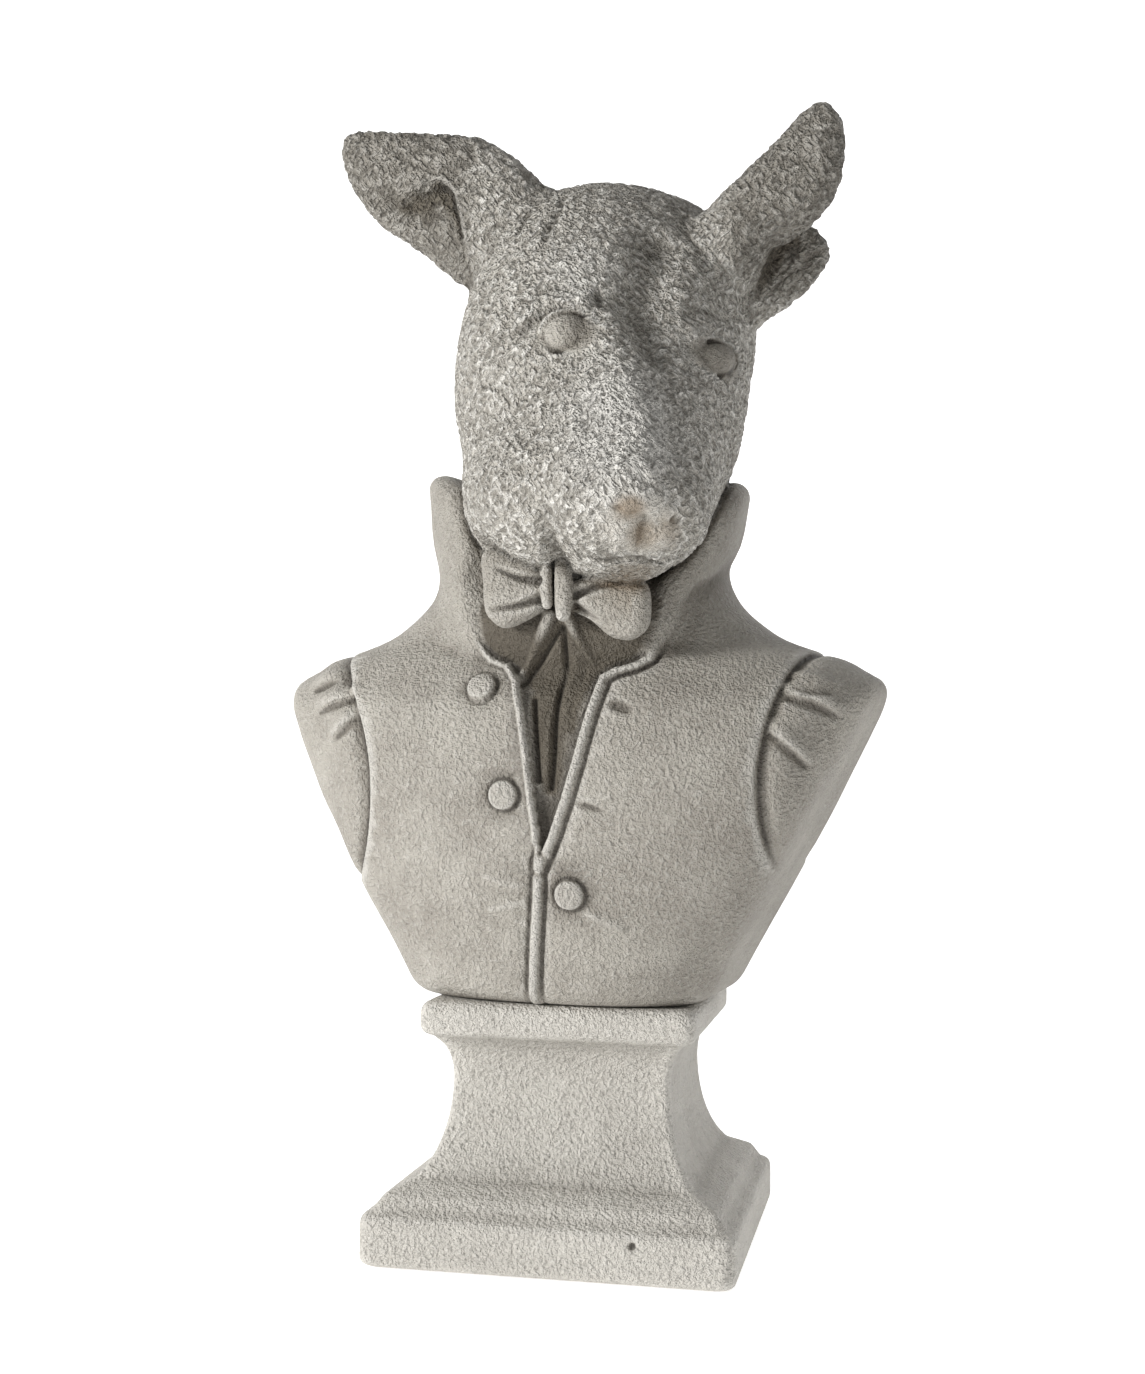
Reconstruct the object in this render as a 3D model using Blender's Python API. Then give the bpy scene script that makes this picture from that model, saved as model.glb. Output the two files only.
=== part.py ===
# A cast cement bust of a dog in a waistcoat, on its loose cement plinth.
#
# Metres, +Z up, the dog's chest towards -Y. The origin is the middle of the plinth's underside.
# The bust is made as a sculptor would: clay shapes are laid on each other, blended and cut,
# and the skin of the clay is then taken as one closed casting. The clay is measured in mm,
# its heights counted so that the seat on the plinth is at CLAY_SEAT, and its left and right
# are the viewer's.
import math

import bmesh
import bpy
import numpy as np
import openvdb

MM = 0.001

# Plinth
PLINTH_WIDTH = 190.0
PLINTH_HEIGHT = 130.0
FOOT_HEIGHT = 26.5
FOOT_EDGE = 4.5
LEDGE_INSET = 10.5
LEDGE_RISE = 7.8
CAP_WIDTH = 143.0
CAP_HEIGHT = 18.0
CAP_EDGE = 5.5
WAIST_WIDTH = 113.0
WAIST_LEVEL = 90.0
CAP_FOOT_WIDTH = 131.0
CAP_FLARE = 0.9
FOOT_CORNER = 7.0
WAIST_CORNER = 3.0
CAP_CORNER = 6.0

# How the bust stands on the plinth
SEAT_GAP = 0.3
CLAY_SEAT = 130.3
BUST_TURN = math.radians(6.0)

# Torso: height, half width before the arms are cut off, depth in front of the middle and behind it
TORSO = (
    (112, 79, 63, 49),
    (131, 88, 70, 55),
    (160, 104, 77, 62),
    (185, 122, 82, 66),
    (210, 138, 85, 69),
    (230, 152, 87, 71),
    (250, 160, 87, 72),
    (270, 168, 84, 70),
    (285, 171, 79, 67),
    (295, 165, 72, 62),
    (303, 150, 66, 58),
    (309, 128, 61, 56),
    (315, 111, 59, 54),
    (325, 95, 57, 53),
    (335, 84, 56, 52),
    (345, 77, 55, 52),
    (366, 72, 52, 50),
)
TORSO_SQUARENESS = 2.5
ARM_CUT_AT_SEAT = 79.0
ARM_CUT_SLOPE = 0.525
ARM_CUT_EDGE = 8.0
SEAT_EDGE = 10.0

# Armholes and what is left of the sleeves
ARMHOLE_LEVEL = 239.0
ARMHOLE_LEFT = (91.5, 0.0060)
ARMHOLE_RIGHT = (110.0, 0.0036)
WAISTCOAT_THICKNESS = 3.5
SLEEVE_PUFF = 3.0
CREASE_RADIUS = 2.5
FOLD_RADIUS = 3.4
FOLD_SINK = 1.6
FOLD_AWAY = 4.6
FOLD_SHAPE = np.array((0.45, 0.85, 1.0, 0.85, 0.45))
SLEEVE_CREASES = (
    ((-129, 278), (-117, 282), (-106, 284.5)),
    ((-116, 264), (-109, 269), (-102.5, 274)),
    ((-137, 290), (-121, 295)),
    ((123, 286), (135, 283), (147, 277)),
    ((117, 267), (125, 260), (133, 252)),
    ((127, 292), (143, 289)),
)

# Waistcoat front: places are (x, z) on the chest
OPENING_LEFT = ((-44, 330), (-39, 316), (-34, 310), (-29, 306), (-20, 303), (-13, 295), (-7.5, 279),
                (-3, 259), (0, 239), (2.9, 219), (4.1, 204))
OPENING_RIGHT = ((64, 330), (57.5, 316), (54, 307), (48, 303.5), (39, 301), (32.4, 297), (30.5, 287),
                 (27, 272), (23, 254), (17.5, 235), (11, 217), (4.3, 202))
PLACKET = ((4.1, 204), (2.8, 184), (0, 159), (-2.5, 130))
OPENING_DEPTH = 3.8
PIPING_HEIGHT = 2.6
LEFT_PIPING_WIDTH = 4.9
RIGHT_PIPING_WIDTH = 6.5
PLACKET_WIDTH = 5.2
GROOVE_DEPTH = 1.6
GROOVE_WIDTH = 2.6
PLACKET_GROOVE_AWAY = 4.0
RIGHT_GROOVE_AWAY = 5.0
BUTTONS = ((-30.6, 290.6), (-14.1, 236.5), (19.6, 187.6))
BUTTON_RADIUS = 7.4
BUTTON_HEIGHT = 3.2
# Buttonholes: their two ends, half their height and their depth
BUTTONHOLES = (((39.5, 283.5), (49, 280), 4.2, 2.2), ((25, 232.8), (37, 229.5), 2.2, 1.4))
PULLS = (((-24, 195.5), (-7, 191)), ((-22, 179), (-6, 183)), ((29, 178), (44, 172)))
PULL_SINK = 0.6
PULL_RADIUS = 2.4

# Collar: lower and upper edge of its middle surface, from its left front edge round the nape to the right
COLLAR_FOOT = ((-41, -58, 312), (-58, -47, 318), (-70, -26, 322), (-75, 0, 326), (-68, 34, 334),
               (-44, 52, 340), (0, 58, 342), (46, 52, 340), (70, 34, 334), (77, 2, 324), (74, -26, 318),
               (64, -46, 314), (50, -58, 310))
COLLAR_BEND = ((-50, -50, 346), (-60, -40, 348), (-68, -22, 349), (-71, 0, 350), (-63, 34, 355),
               (-42, 50, 358), (0, 55, 360), (42, 50, 359), (62, 34, 357), (68, 4, 354), (69, -22, 348),
               (66, -38, 344), (60, -51, 340))
COLLAR_FLARE = ((-51, -46, 368), (-63, -36, 373), (-75, -18, 376), (-80, 2, 376), (-71, 38, 378),
                (-45, 54, 380), (0, 61, 382), (45, 55, 381), (69, 38, 379), (76, 8, 375), (77, -16, 368),
                (75, -32, 361), (70, -44, 355))
COLLAR_TOP = ((-63, -33, 394), (-74, -21, 401), (-82, -7, 405), (-85, 8, 407), (-76, 40, 406), (-47, 58, 404),
              (0, 66, 403), (46, 59, 401), (72, 40, 399), (80, 12, 398), (82, -8, 393), (81, -22, 384),
              (77, -34, 373))
COLLAR_RADIUS = 7.5

# Shirt and bow tie: outlines and folds are (x, z), from the front
NECKCLOTH = ((10, -47, 322), (56, 31, 30))
TAILS = (((5, 327), (2, 320), (-2, 313), (-7, 305.5), (-12.5, 297)),
         ((15, 327), (18, 319), (22, 311), (25.5, 304)))
TAIL_RADII = (4.0, 3.4)
TAIL_END = 0.35
PLEATS = (((12.5, 320), (12.6, 309), (11.6, 298), (10.5, 287), (10.5, 271), (11, 256), (10, 240)),
          ((11.5, 321), (4, 311), (-4, 301), (-10, 292)), ((-2, 284), (1, 262), (3, 244)))
PLEAT_RADIUS = 1.7
FOLDS = (((18, 309), (16.8, 297), (15.4, 285), (15, 271)), ((6.5, 276), (7, 262), (6.5, 246)),
         ((25, 298), (21, 272)))
SHIRT_FOLD_RADIUS = 3.0
SHIRT_FOLD_SINK = 1.4
BOW_LEFT = ((-30, 361), (-20, 362), (-6, 357), (4, 350), (6, 340), (4, 331), (-6, 324), (-18, 320.5),
            (-27, 327), (-30, 343))
BOW_RIGHT = ((15, 342), (28, 348), (42, 348), (56, 343), (59, 331), (57, 319), (50, 314), (40, 315),
             (28, 324), (15, 332))
BOW_DEPTH = -80.0
BOW_THICKNESS = 7.0
BOW_CREASES = (((3, 344), (-9, 345.5), (-20, 350)), ((3, 335), (-10, 331.5), (-23, 330)),
               ((20, 336.5), (32, 340.5), (44, 342.5)), ((20, 331), (31, 325)))
BOW_CREASE_RADII = (3.0, 1.3)
KNOT = (((6.2, 355), (5.6, 343), (6.6, 332)), ((14.4, 355), (15.2, 341), (15.0, 327)))
KNOT_RADII = (3.3, 4.7)
KNOT_FORWARD = 6.5
KNOT_SHAPE = (0.75, 0.92, 1.0, 1.0, 0.95, 0.8)

# Head: its own frame looks along -y, turned and tilted about a place inside the skull
HEAD_PLACE = (7.0, 12.0, 466.0)
HEAD_TURN = math.radians(27.5)
HEAD_TILT = math.radians(8.6)
# Each ring crosses the head from a point on top of it (y, z) to one underneath, with its half width and
# the x of its middle
HEAD_RINGS = (
    ((-171, -90), (-160, -112), 18, 0),
    ((-167, -80), (-150, -119), 31, 0),
    ((-155, -66), (-130, -122), 38, 0),
    ((-138, -46), (-100, -122), 43.5, 0),
    ((-122, -27), (-68, -119), 51, 0),
    ((-108, -9), (-38, -110), 61, -2),
    ((-97, 8), (-8, -98), 71.5, -4),
    ((-87, 28), (18, -84), 77.5, -5),
    ((-76, 50), (42, -66), 80.5, -4.5),
    ((-60, 72), (60, -45), 82.5, -2.5),
    ((-40, 93), (72, -20), 81, -0.5),
    ((-15, 107), (80, 8), 77, 3),
    ((12, 112), (80, 40), 69, 6),
    ((38, 107), (72, 66), 56, 7),
    ((56, 96), (64, 80), 30, 6),
)
NECK = (((6, 2, 316), 44), ((6, 12, 352), 47), ((8, 12, 400), 55))
# Places on the face are (x, z) as seen along the head's own axis
# Eyes: place, half width, half height, and how far the outer corner is turned up
EYES = ((-39.5, -3.8, 13.0, 11.5, -0.04), (40.5, 0.6, 15.4, 9.3, 0.45))
LID_FOLD = ((-60, -3), (-53.5, 4), (-46, 8.6), (-38, 10.4), (-30, 7.5))
LID_FOLD_RADIUS = 2.6
EYE_DEPTH = 10.0
EYE_SINK = 4.2
EYE_GROOVE = 1.4
EYE_GAP = 0.4
LID_MARGIN = 1.4
LID_LIFT = 2.6
LID_UPPER = 2.0
LID_LOWER = 0.8
THROAT = (((2, -45, 392), (54, 54, 46)), ((9, -84, 388), (38, 37, 30)), ((14, -88, 375), (24, 24, 18)))
JAW = ((2, -110, -114), (24, 36, 10.5))
MOUTH = ((-41.5, -98), (-37, -103), (-33, -109), (-29, -113), (-20, -118.5), (-10, -120.5), (-1, -119),
         (4, -117.8), (12, -118.3), (23, -114), (32, -109), (42, -96))
LIP_STEP = 2.4
LIP_REACH = 5.5
LIP_LINE_RADII = (1.1, 1.7, 1.7, 0.9)
NOSE_RIDGE = ((-12, -96), (0, -94.5), (11, -96))
NOSE_BUMPS = ((-7.5, -107.5), (12, -106))
NOSTRILS = ((-12.5, -100.5), (16, -99.5))
NOSE_RADIUS = 5.3
NOSE_SINK = 3.2
NOSE_BUMP_RADII = (5.2, 5.2, 5.2)
NOSTRIL_RADII = (3.0, 2.2, 2.4)
PHILTRUM_RADIUS = 0.9
BRIDGE = ((-20, -4), (-12, -24), (-6, -44), (-3, -66), (-4, -86))
BRIDGE_RADIUS = 11.0
BRIDGE_LIFT = 2.4
PHILTRUM = ((1, -101), (1.5, -109), (2.5, -117.5))
BROWS = (((-57, 3), (-51, 10.5), (-41, 14), (-30, 12.5)), ((24, 7), (30, 14), (41, 17.5), (53, 14)))
FOREHEAD_VALLEY = ((0, -2), (-3, 14), (-1, 36), (3, 62))
VALLEY_RADIUS = 16.0
VALLEY_END_RADIUS = 12.0
VALLEY_DEPTH = 5.5
BROW_RADIUS = 4.0
BROW_SINK = 2.2
FURROW_RADIUS = 2.4
WRINKLE_RADIUS = 2.2
FURROW = ((-25.5, 25), (-24.5, 19), (-24, 13), (-24.5, 6))
EAR_WRINKLES = (((-44, 86), (-50, 67), (-56, 47)), ((-57, 91), (-61, 77), (-66, 62)), ((50, 88), (58, 72)))

# Ears: cross-sections from the root to the tip, each from its upper edge (x, z) to its lower edge (x, z),
# with the depth of its middle and half its thickness
EAR_LEFT = (
    ((-8, 556), (-54, 503), -4, 24),
    ((-20, 568), (-64, 515), -6, 24),
    ((-36, 585), (-70, 519), -8, 23),
    ((-48, 594), (-77, 522), -9, 21),
    ((-63, 602), (-95, 537), -11, 18),
    ((-90, 606), (-114, 550), -13, 14),
    ((-112, 609), (-126, 562), -14, 11),
    ((-130, 611), (-136, 575), -15, 8),
    ((-139, 610), (-142, 590), -15, 6),
    ((-143, 607), (-144, 600), -15, 3),
)
EAR_LEFT_SCOOPS = (((-108, -55, 560), (46, 34, 26), -0.56),)
# The left ear's hollow lies left of its folded front edge and below its rolled upper band, both (x, z)
EAR_FOLD = ((-59, 520), (-61, 528), (-63, 540), (-66, 554), (-70.7, 568), (-75.5, 573), (-82, 575.5))
EAR_BAND = ((-135, 571), (-117, 573), (-105, 571.5), (-92, 574), (-80, 577), (-60, 580))
EAR_HOLLOW_DEPTH = 11.0
EAR_HOLLOW_REACH = (54.0, 60.0)
EAR_RIGHT = (
    ((60, 545), (84, 500), 0, 24),
    ((73, 557), (94, 513), -1, 24),
    ((89, 570), (103, 528), -3, 23),
    ((105, 584), (118, 534), -5, 20),
    ((113, 592), (131, 542), -6, 17),
    ((119, 598), (140, 557), -7, 14),
    ((126, 602), (142.5, 575), -8, 10),
    ((131, 602.5), (141, 592), -9, 6),
    ((134, 601), (138, 597), -9, 3),
)
EAR_RIGHT_BACK = (
    ((86, 525), (84, 490), 18, 9),
    ((96, 532), (94, 494), 19, 9),
    ((110, 542), (104, 500), 20, 9),
    ((120, 546), (115, 508), 20, 8),
    ((127, 539), (125, 518), 20, 6),
    ((130, 533), (129.5, 527), 20, 3),
)
EAR_RIGHT_SCOOPS = (((139, 4, 555), (30, 10, 32), 0.0),)

CLAY_LOW = (-166, -178, 122)
CLAY_HIGH = (178, 122, 622)
CLAY_STEP = 1.6
REACH = 20.0
BUST_FACES = 8600
CEMENT = (0.42, 0.40, 0.365, 1.0)


def smooth_min(a, b, blend):
    """The nearer of two distances, with a fillet about as wide as the blend where they meet."""
    if blend <= 0:
        return np.minimum(a, b)
    close = np.maximum(blend - np.abs(a - b), 0) / blend
    return np.minimum(a, b) - close * close * blend / 4


def step_between(value, low, high):
    """0 up to low, 1 from high on, and an S-shaped rise between them."""
    t = np.clip((value - low) / (high - low), 0, 1)
    return t * t * (3 - 2 * t)


def through(places, values, at):
    """Values of a smooth curve through a table's rows."""
    places = np.asarray(places, float)
    values = np.asarray(values, float)
    slopes = np.gradient(values, places, axis=0)
    at = np.clip(at, places[0], places[-1])
    row = np.clip(np.searchsorted(places, at, side="right") - 1, 0, len(places) - 2)
    span = places[row + 1] - places[row]
    t = (at - places[row]) / span
    if values.ndim > 1:
        t = t[:, None]
        span = span[:, None]
    start = (1 + 2 * t) * (1 - t) ** 2 * values[row] + t * (1 - t) ** 2 * span * slopes[row]
    end = t * t * (3 - 2 * t) * values[row + 1] + t * t * (t - 1) * span * slopes[row + 1]
    return start + end


def smooth_path(points, count):
    """Points spread along a smooth curve through the given ones."""
    points = np.asarray(points, float)
    lengths = np.linalg.norm(np.diff(points, axis=0), axis=1)
    along = np.append(0, np.cumsum(lengths))
    return through(along, points, np.linspace(0, along[-1], count))


def smooth_outline(points, per_side=4):
    """A closed smooth outline through the given corners."""
    points = np.asarray(points, float)
    wrapped = np.concatenate([points[-3:], points, points[:4]])
    lengths = np.linalg.norm(np.diff(wrapped, axis=0), axis=1)
    along = np.append(0, np.cumsum(lengths))
    at = np.linspace(along[3], along[3 + len(points)], per_side * len(points), endpoint=False)
    return through(along, wrapped, at)


def turn_matrix(turn, tilt):
    """Rotation of a head that turns to the viewer's right and tilts clockwise."""
    c = math.cos(turn)
    s = math.sin(turn)
    yaw = np.array(((c, -s, 0), (s, c, 0), (0, 0, 1)))
    c = math.cos(tilt)
    s = math.sin(tilt)
    roll = np.array(((c, 0, s), (0, 1, 0), (-s, 0, c)))
    return yaw @ roll


HEAD = turn_matrix(HEAD_TURN, HEAD_TILT)


def from_head(points):
    """Places given in the head's frame, in the bust's."""
    return np.asarray(points, float) @ HEAD.T + np.array(HEAD_PLACE)


def distance_to_path(points, x, z):
    """Distance in the (x, z) plane to a line through the points, and how far along it the nearest is."""
    best = None
    for index in range(len(points) - 1):
        ax, az = points[index]
        bx, bz = points[index + 1]
        dx = bx - ax
        dz = bz - az
        t = np.clip(((x - ax) * dx + (z - az) * dz) / (dx * dx + dz * dz + 1e-9), 0, 1)
        gap = np.hypot(x - ax - t * dx, z - az - t * dz)
        here = (index + t) / (len(points) - 1)
        if best is None:
            best = gap
            where = here
        else:
            where = np.where(gap < best, here, where)
            best = np.minimum(best, gap)
    return best, where


def distance_to_outline(points, x, z):
    """Signed distance in the (x, z) plane to a closed outline, below 0 inside it."""
    best = np.full(np.broadcast(x, z).shape, np.inf)
    inside = np.zeros(best.shape, bool)
    for index in range(len(points)):
        ax, az = points[index - 1]
        bx, bz = points[index]
        dx = bx - ax
        dz = bz - az
        t = np.clip(((x - ax) * dx + (z - az) * dz) / (dx * dx + dz * dz + 1e-9), 0, 1)
        best = np.minimum(best, np.hypot(x - ax - t * dx, z - az - t * dz))
        crosses = (z >= az) != (z >= bz)
        side = (x - ax) * dz - (z - az) * dx
        inside ^= crosses & ((side < 0) == (dz > 0))
    return np.where(inside, -best, best)


def ball(place, radii, turn=None):
    """An ellipsoid, its axes turned by a rotation matrix."""
    place = np.array(place, float)
    radii = np.array(radii, float)
    turn = np.eye(3) if turn is None else turn
    extent = np.sqrt((turn * turn) @ (radii * radii))

    def distance(x, y, z):
        x = x - place[0]
        y = y - place[1]
        z = z - place[2]
        scaled = 0
        twice = 0
        for axis in range(3):
            local = x * turn[0, axis] + y * turn[1, axis] + z * turn[2, axis]
            scaled = scaled + (local / radii[axis]) ** 2
            twice = twice + (local / radii[axis] ** 2) ** 2
        return np.sqrt(scaled) * (np.sqrt(scaled) - 1) / np.sqrt(twice + 1e-9)

    return place - extent, place + extent, distance


def disc(place, normal, radius, height):
    """A round tablet with softened edges, its axis along the normal."""
    reach = np.full(3, radius + height)

    def distance(x, y, z):
        x = x - place[0]
        y = y - place[1]
        z = z - place[2]
        along = x * normal[0] + y * normal[1] + z * normal[2]
        away = np.sqrt(np.maximum(x * x + y * y + z * z - along * along, 0))
        return -smooth_min(radius - away, height - np.abs(along), 2.0)

    return place - reach, place + reach, distance


def strand(points, radii):
    """A rope of clay along the points, its radius given once or at each point."""
    points = np.asarray(points, float)
    radii = np.broadcast_to(np.asarray(radii, float), len(points))
    reach = radii.max()

    def distance(x, y, z):
        best = np.inf
        for index in range(len(points) - 1):
            start = points[index]
            run = points[index + 1] - start
            t = (x - start[0]) * run[0] + (y - start[1]) * run[1] + (z - start[2]) * run[2]
            t = np.clip(t / (run @ run + 1e-9), 0, 1)
            dx = x - start[0] - t * run[0]
            dy = y - start[1] - t * run[1]
            dz = z - start[2] - t * run[2]
            radius = radii[index] + t * (radii[index + 1] - radii[index])
            best = np.minimum(best, np.sqrt(dx * dx + dy * dy + dz * dz) - radius)
        return best

    return points.min(axis=0) - reach, points.max(axis=0) + reach, distance


def pad(outline, depth, thickness, rounding, lean=0.0):
    """A cushion with the outline (x, z), its middle at the depth, leaning back with height."""
    outline = np.asarray(outline, float)
    low = np.array((outline[:, 0].min(), depth - thickness, outline[:, 1].min()))
    high = np.array((outline[:, 0].max(), depth + thickness, outline[:, 1].max()))
    middle = outline[:, 1].mean()
    shift = abs(lean) * (high[2] - low[2]) / 2
    low[1] -= shift
    high[1] += shift

    def distance(x, y, z):
        flat = distance_to_outline(outline, x, z)
        thick = np.abs(y - depth - lean * (z - middle)) - thickness
        return -smooth_min(-flat, -thick, rounding)

    return low, high, distance


class Clay:
    """A block of space whose grid holds the distance to the clay's surface, in mm, below 0 inside it."""

    def __init__(self, low, high, step):
        self.low = np.array(low, float)
        self.step = step
        counts = np.ceil((np.array(high, float) - self.low) / step).astype(int) + 1
        self.field = np.full(counts, REACH, np.float32)

    def window(self, low, high):
        """The grid between two corners: its slices, then its x, y and z ready to combine."""
        first = np.floor((np.asarray(low) - self.low) / self.step).astype(int)
        last = np.ceil((np.asarray(high) - self.low) / self.step).astype(int) + 1
        first = np.clip(first, 0, self.field.shape)
        last = np.clip(last, 0, self.field.shape)
        slices = tuple(slice(a, b) for a, b in zip(first, last))
        lines = [self.low[axis] + self.step * np.arange(first[axis], last[axis]) for axis in range(3)]
        return slices, *np.ix_(*lines)

    def add(self, shape, blend=0.0):
        low, high, distance = shape
        margin = blend + 2 * self.step
        slices, x, y, z = self.window(low - margin, high + margin)
        self.field[slices] = smooth_min(self.field[slices], distance(x, y, z), blend)

    def cut(self, shape, blend=0.0):
        low, high, distance = shape
        margin = blend + 2 * self.step
        slices, x, y, z = self.window(low - margin, high + margin)
        self.field[slices] = -smooth_min(-self.field[slices], distance(x, y, z), blend)

    def keep_below(self, height, blend):
        """Cuts the clay along a surface: height(x, y, z) is how far a place lies outside it."""
        slices, x, y, z = self.window(self.low, self.low + self.step * np.array(self.field.shape))
        self.field = -smooth_min(-self.field, -height(x, y, z), blend)

    def relief(self, low, high, height):
        """Raises the surface by height(x, y, z)."""
        slices, x, y, z = self.window(low, high)
        self.field[slices] -= height(x, y, z)

    def add_skin(self, points, quads, swell=0.0, blend=0.0):
        """Adds the inside of a closed skin, swollen by a distance that also rounds its edges."""
        margin = swell + blend + REACH / 2
        slices, x, y, z = self.window(points.min(axis=0) - margin, points.max(axis=0) + margin)
        start = np.array((x[0, 0, 0], y[0, 0, 0], z[0, 0, 0]))
        level = openvdb.FloatGrid.createLevelSetFromPolygons(
            (points - start).astype(np.float32),
            quads=quads.astype(np.uint32),
            transform=openvdb.createLinearTransform(self.step),
            halfWidth=REACH / self.step,
        )
        distance = np.empty(self.field[slices].shape, np.float32)
        level.copyToArray(distance)
        self.field[slices] = smooth_min(self.field[slices], distance - swell, blend)

    def read(self, points):
        """The field at places between the grid's own."""
        where = (np.asarray(points) - self.low) / self.step
        where = np.clip(where, 0, np.array(self.field.shape) - 1.001)
        base = where.astype(int)
        part = where - base
        total = 0
        for corner in np.ndindex(2, 2, 2):
            weight = np.prod(np.where(corner, part, 1 - part), axis=-1)
            i, j, k = np.moveaxis(base + corner, -1, 0)
            total = total + weight * self.field[i, j, k]
        return total

    def hit(self, start, direction):
        """The first place on the surface along a line that starts outside it."""
        run = np.arange(0, 320, self.step / 2)
        values = self.read(np.asarray(start) + run[:, None] * np.asarray(direction))
        first = max(int(np.argmax(values < 0)), 1)
        t = values[first - 1] / (values[first - 1] - values[first])
        return np.asarray(start) + (run[first - 1] + t * self.step / 2) * np.asarray(direction)

    def normal(self, place):
        """Which way the surface faces near a place."""
        shifts = np.eye(3) * 3
        slope = self.read(place + shifts) - self.read(place - shifts)
        return slope / np.linalg.norm(slope)

    def on_front(self, path, count=0, lift=0.0):
        """A path (x, z) laid on the side of the surface that faces the viewer."""
        path = smooth_path(path, count) if count else path
        return np.array([self.hit((x, -170, z), (0, 1, 0)) - (0, lift, 0) for x, z in path])

    def on_face(self, path, count=0, lift=0.0):
        """A path (x, z) in the head's frame, laid on the face."""
        path = smooth_path(path, count) if count else path
        forward = HEAD[:, 1]
        return np.array([self.hit(from_head((x, -185, z)), forward) - lift * forward for x, z in path])

    def smooth(self):
        """Softens what is finer than the grid."""
        for axis in range(3):
            lines = np.moveaxis(self.field, axis, 0)
            lines[1:-1] = lines[1:-1] / 2 + (lines[:-2] + lines[2:]) / 4

    def skin(self):
        """The clay's surface as points in mm and quads."""
        level = openvdb.FloatGrid()
        level.background = REACH
        level.copyFromArray(self.field)
        points, triangles, quads = level.convertToPolygons(isovalue=0, adaptivity=0)
        return points * self.step + self.low, quads


def close_rings(rings):
    """The quads of a skin through rings of equally many points, and points that shut its two ends."""
    count = len(rings[0])
    points = np.concatenate([*rings, [np.mean(rings[0], axis=0)], [np.mean(rings[-1], axis=0)]])
    quads = []
    for level in range(len(rings) - 1):
        for index in range(count):
            after = (index + 1) % count
            quads.append((level * count + index, level * count + after, (level + 1) * count + after,
                          (level + 1) * count + index))
    first_end = len(rings) * count
    last = (len(rings) - 1) * count
    for index in range(0, count, 2):
        middle = index + 1
        after = (index + 2) % count
        quads.append((first_end, after, middle, index))
        quads.append((first_end + 1, last + index, last + middle, last + after))
    return points, np.array(quads)


def superellipse(count, squareness):
    """Points (x, y) round a squared-off circle of radius 1."""
    angle = np.linspace(0, 2 * math.pi, count, endpoint=False)
    power = 2 / squareness
    x = np.sign(np.cos(angle)) * np.abs(np.cos(angle)) ** power
    y = np.sign(np.sin(angle)) * np.abs(np.sin(angle)) ** power
    return x, y


def sheet(rows, thickness=1.0):
    """A closed skin just round the surface that the rows of points span, to be swollen to its thickness."""
    rows = np.asarray(rows, float)
    across = np.gradient(rows, axis=1)
    along = np.gradient(rows, axis=0)
    normal = np.cross(across, along)
    normal /= np.linalg.norm(normal, axis=2, keepdims=True) + 1e-9
    rings = []
    for row, out in zip(rows, normal):
        rings.append(np.concatenate([row + out * thickness / 2, (row - out * thickness / 2)[::-1]]))
    return close_rings(rings)


def add_torso(clay):
    table = np.array(TORSO, float)
    x, y = superellipse(96, TORSO_SQUARENESS)
    rings = []
    for z in np.arange(table[0, 0], table[-1, 0] + 1, 3.0):
        half, front, back = through(table[:, 0], table[:, 1:], np.array((z,)))[0]
        depth = np.where(y < 0, front, back)
        rings.append(np.stack([x * half, y * depth, np.full(len(x), z)], axis=1))
    clay.add_skin(*close_rings(rings))


def seam_gap(x, z):
    """How far a place lies outside the armhole's seam, on either side."""
    rise = (z - ARMHOLE_LEVEL) ** 2
    left = -x - ARMHOLE_LEFT[0] - ARMHOLE_LEFT[1] * rise
    right = x - ARMHOLE_RIGHT[0] - ARMHOLE_RIGHT[1] * rise
    return np.maximum(left, right)


def add_sleeves(clay):
    """Lifts the waistcoat clear of the sleeves, and puffs and gathers the sleeves at the seam."""

    def height(x, y, z):
        gap = seam_gap(x, z)
        waistcoat = WAISTCOAT_THICKNESS * (1 - step_between(gap, -0.9, 0.9))
        puff = SLEEVE_PUFF * step_between(gap, 1, 9) * (1 - step_between(gap, 12, 34))
        return waistcoat + puff

    clay.relief(CLAY_LOW, CLAY_HIGH, height)
    for crease in SLEEVE_CREASES:
        above = np.array(crease) + (0, FOLD_AWAY)
        clay.add(strand(clay.on_front(above, 5, lift=-FOLD_SINK), FOLD_SHAPE * FOLD_RADIUS), 6)
        clay.cut(strand(clay.on_front(crease, 5), FOLD_SHAPE * CREASE_RADIUS), 2)


def cut_arms_and_seat(clay):
    """Takes the arms off along slanting planes and the bottom along the seat."""
    shrink = math.hypot(1, ARM_CUT_SLOPE)

    def beyond_arms(x, y, z):
        return (np.abs(x) - ARM_CUT_AT_SEAT - ARM_CUT_SLOPE * (z - CLAY_SEAT)) / shrink

    clay.keep_below(beyond_arms, ARM_CUT_EDGE)
    clay.keep_below(lambda x, y, z: CLAY_SEAT - z, SEAT_EDGE)


def ridge(gap, width):
    """A rounded bead's height, 1 in its middle and 0 from half its width on."""
    return np.sqrt(np.clip(1 - (2 * gap / width) ** 2, 0, 1))


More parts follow.
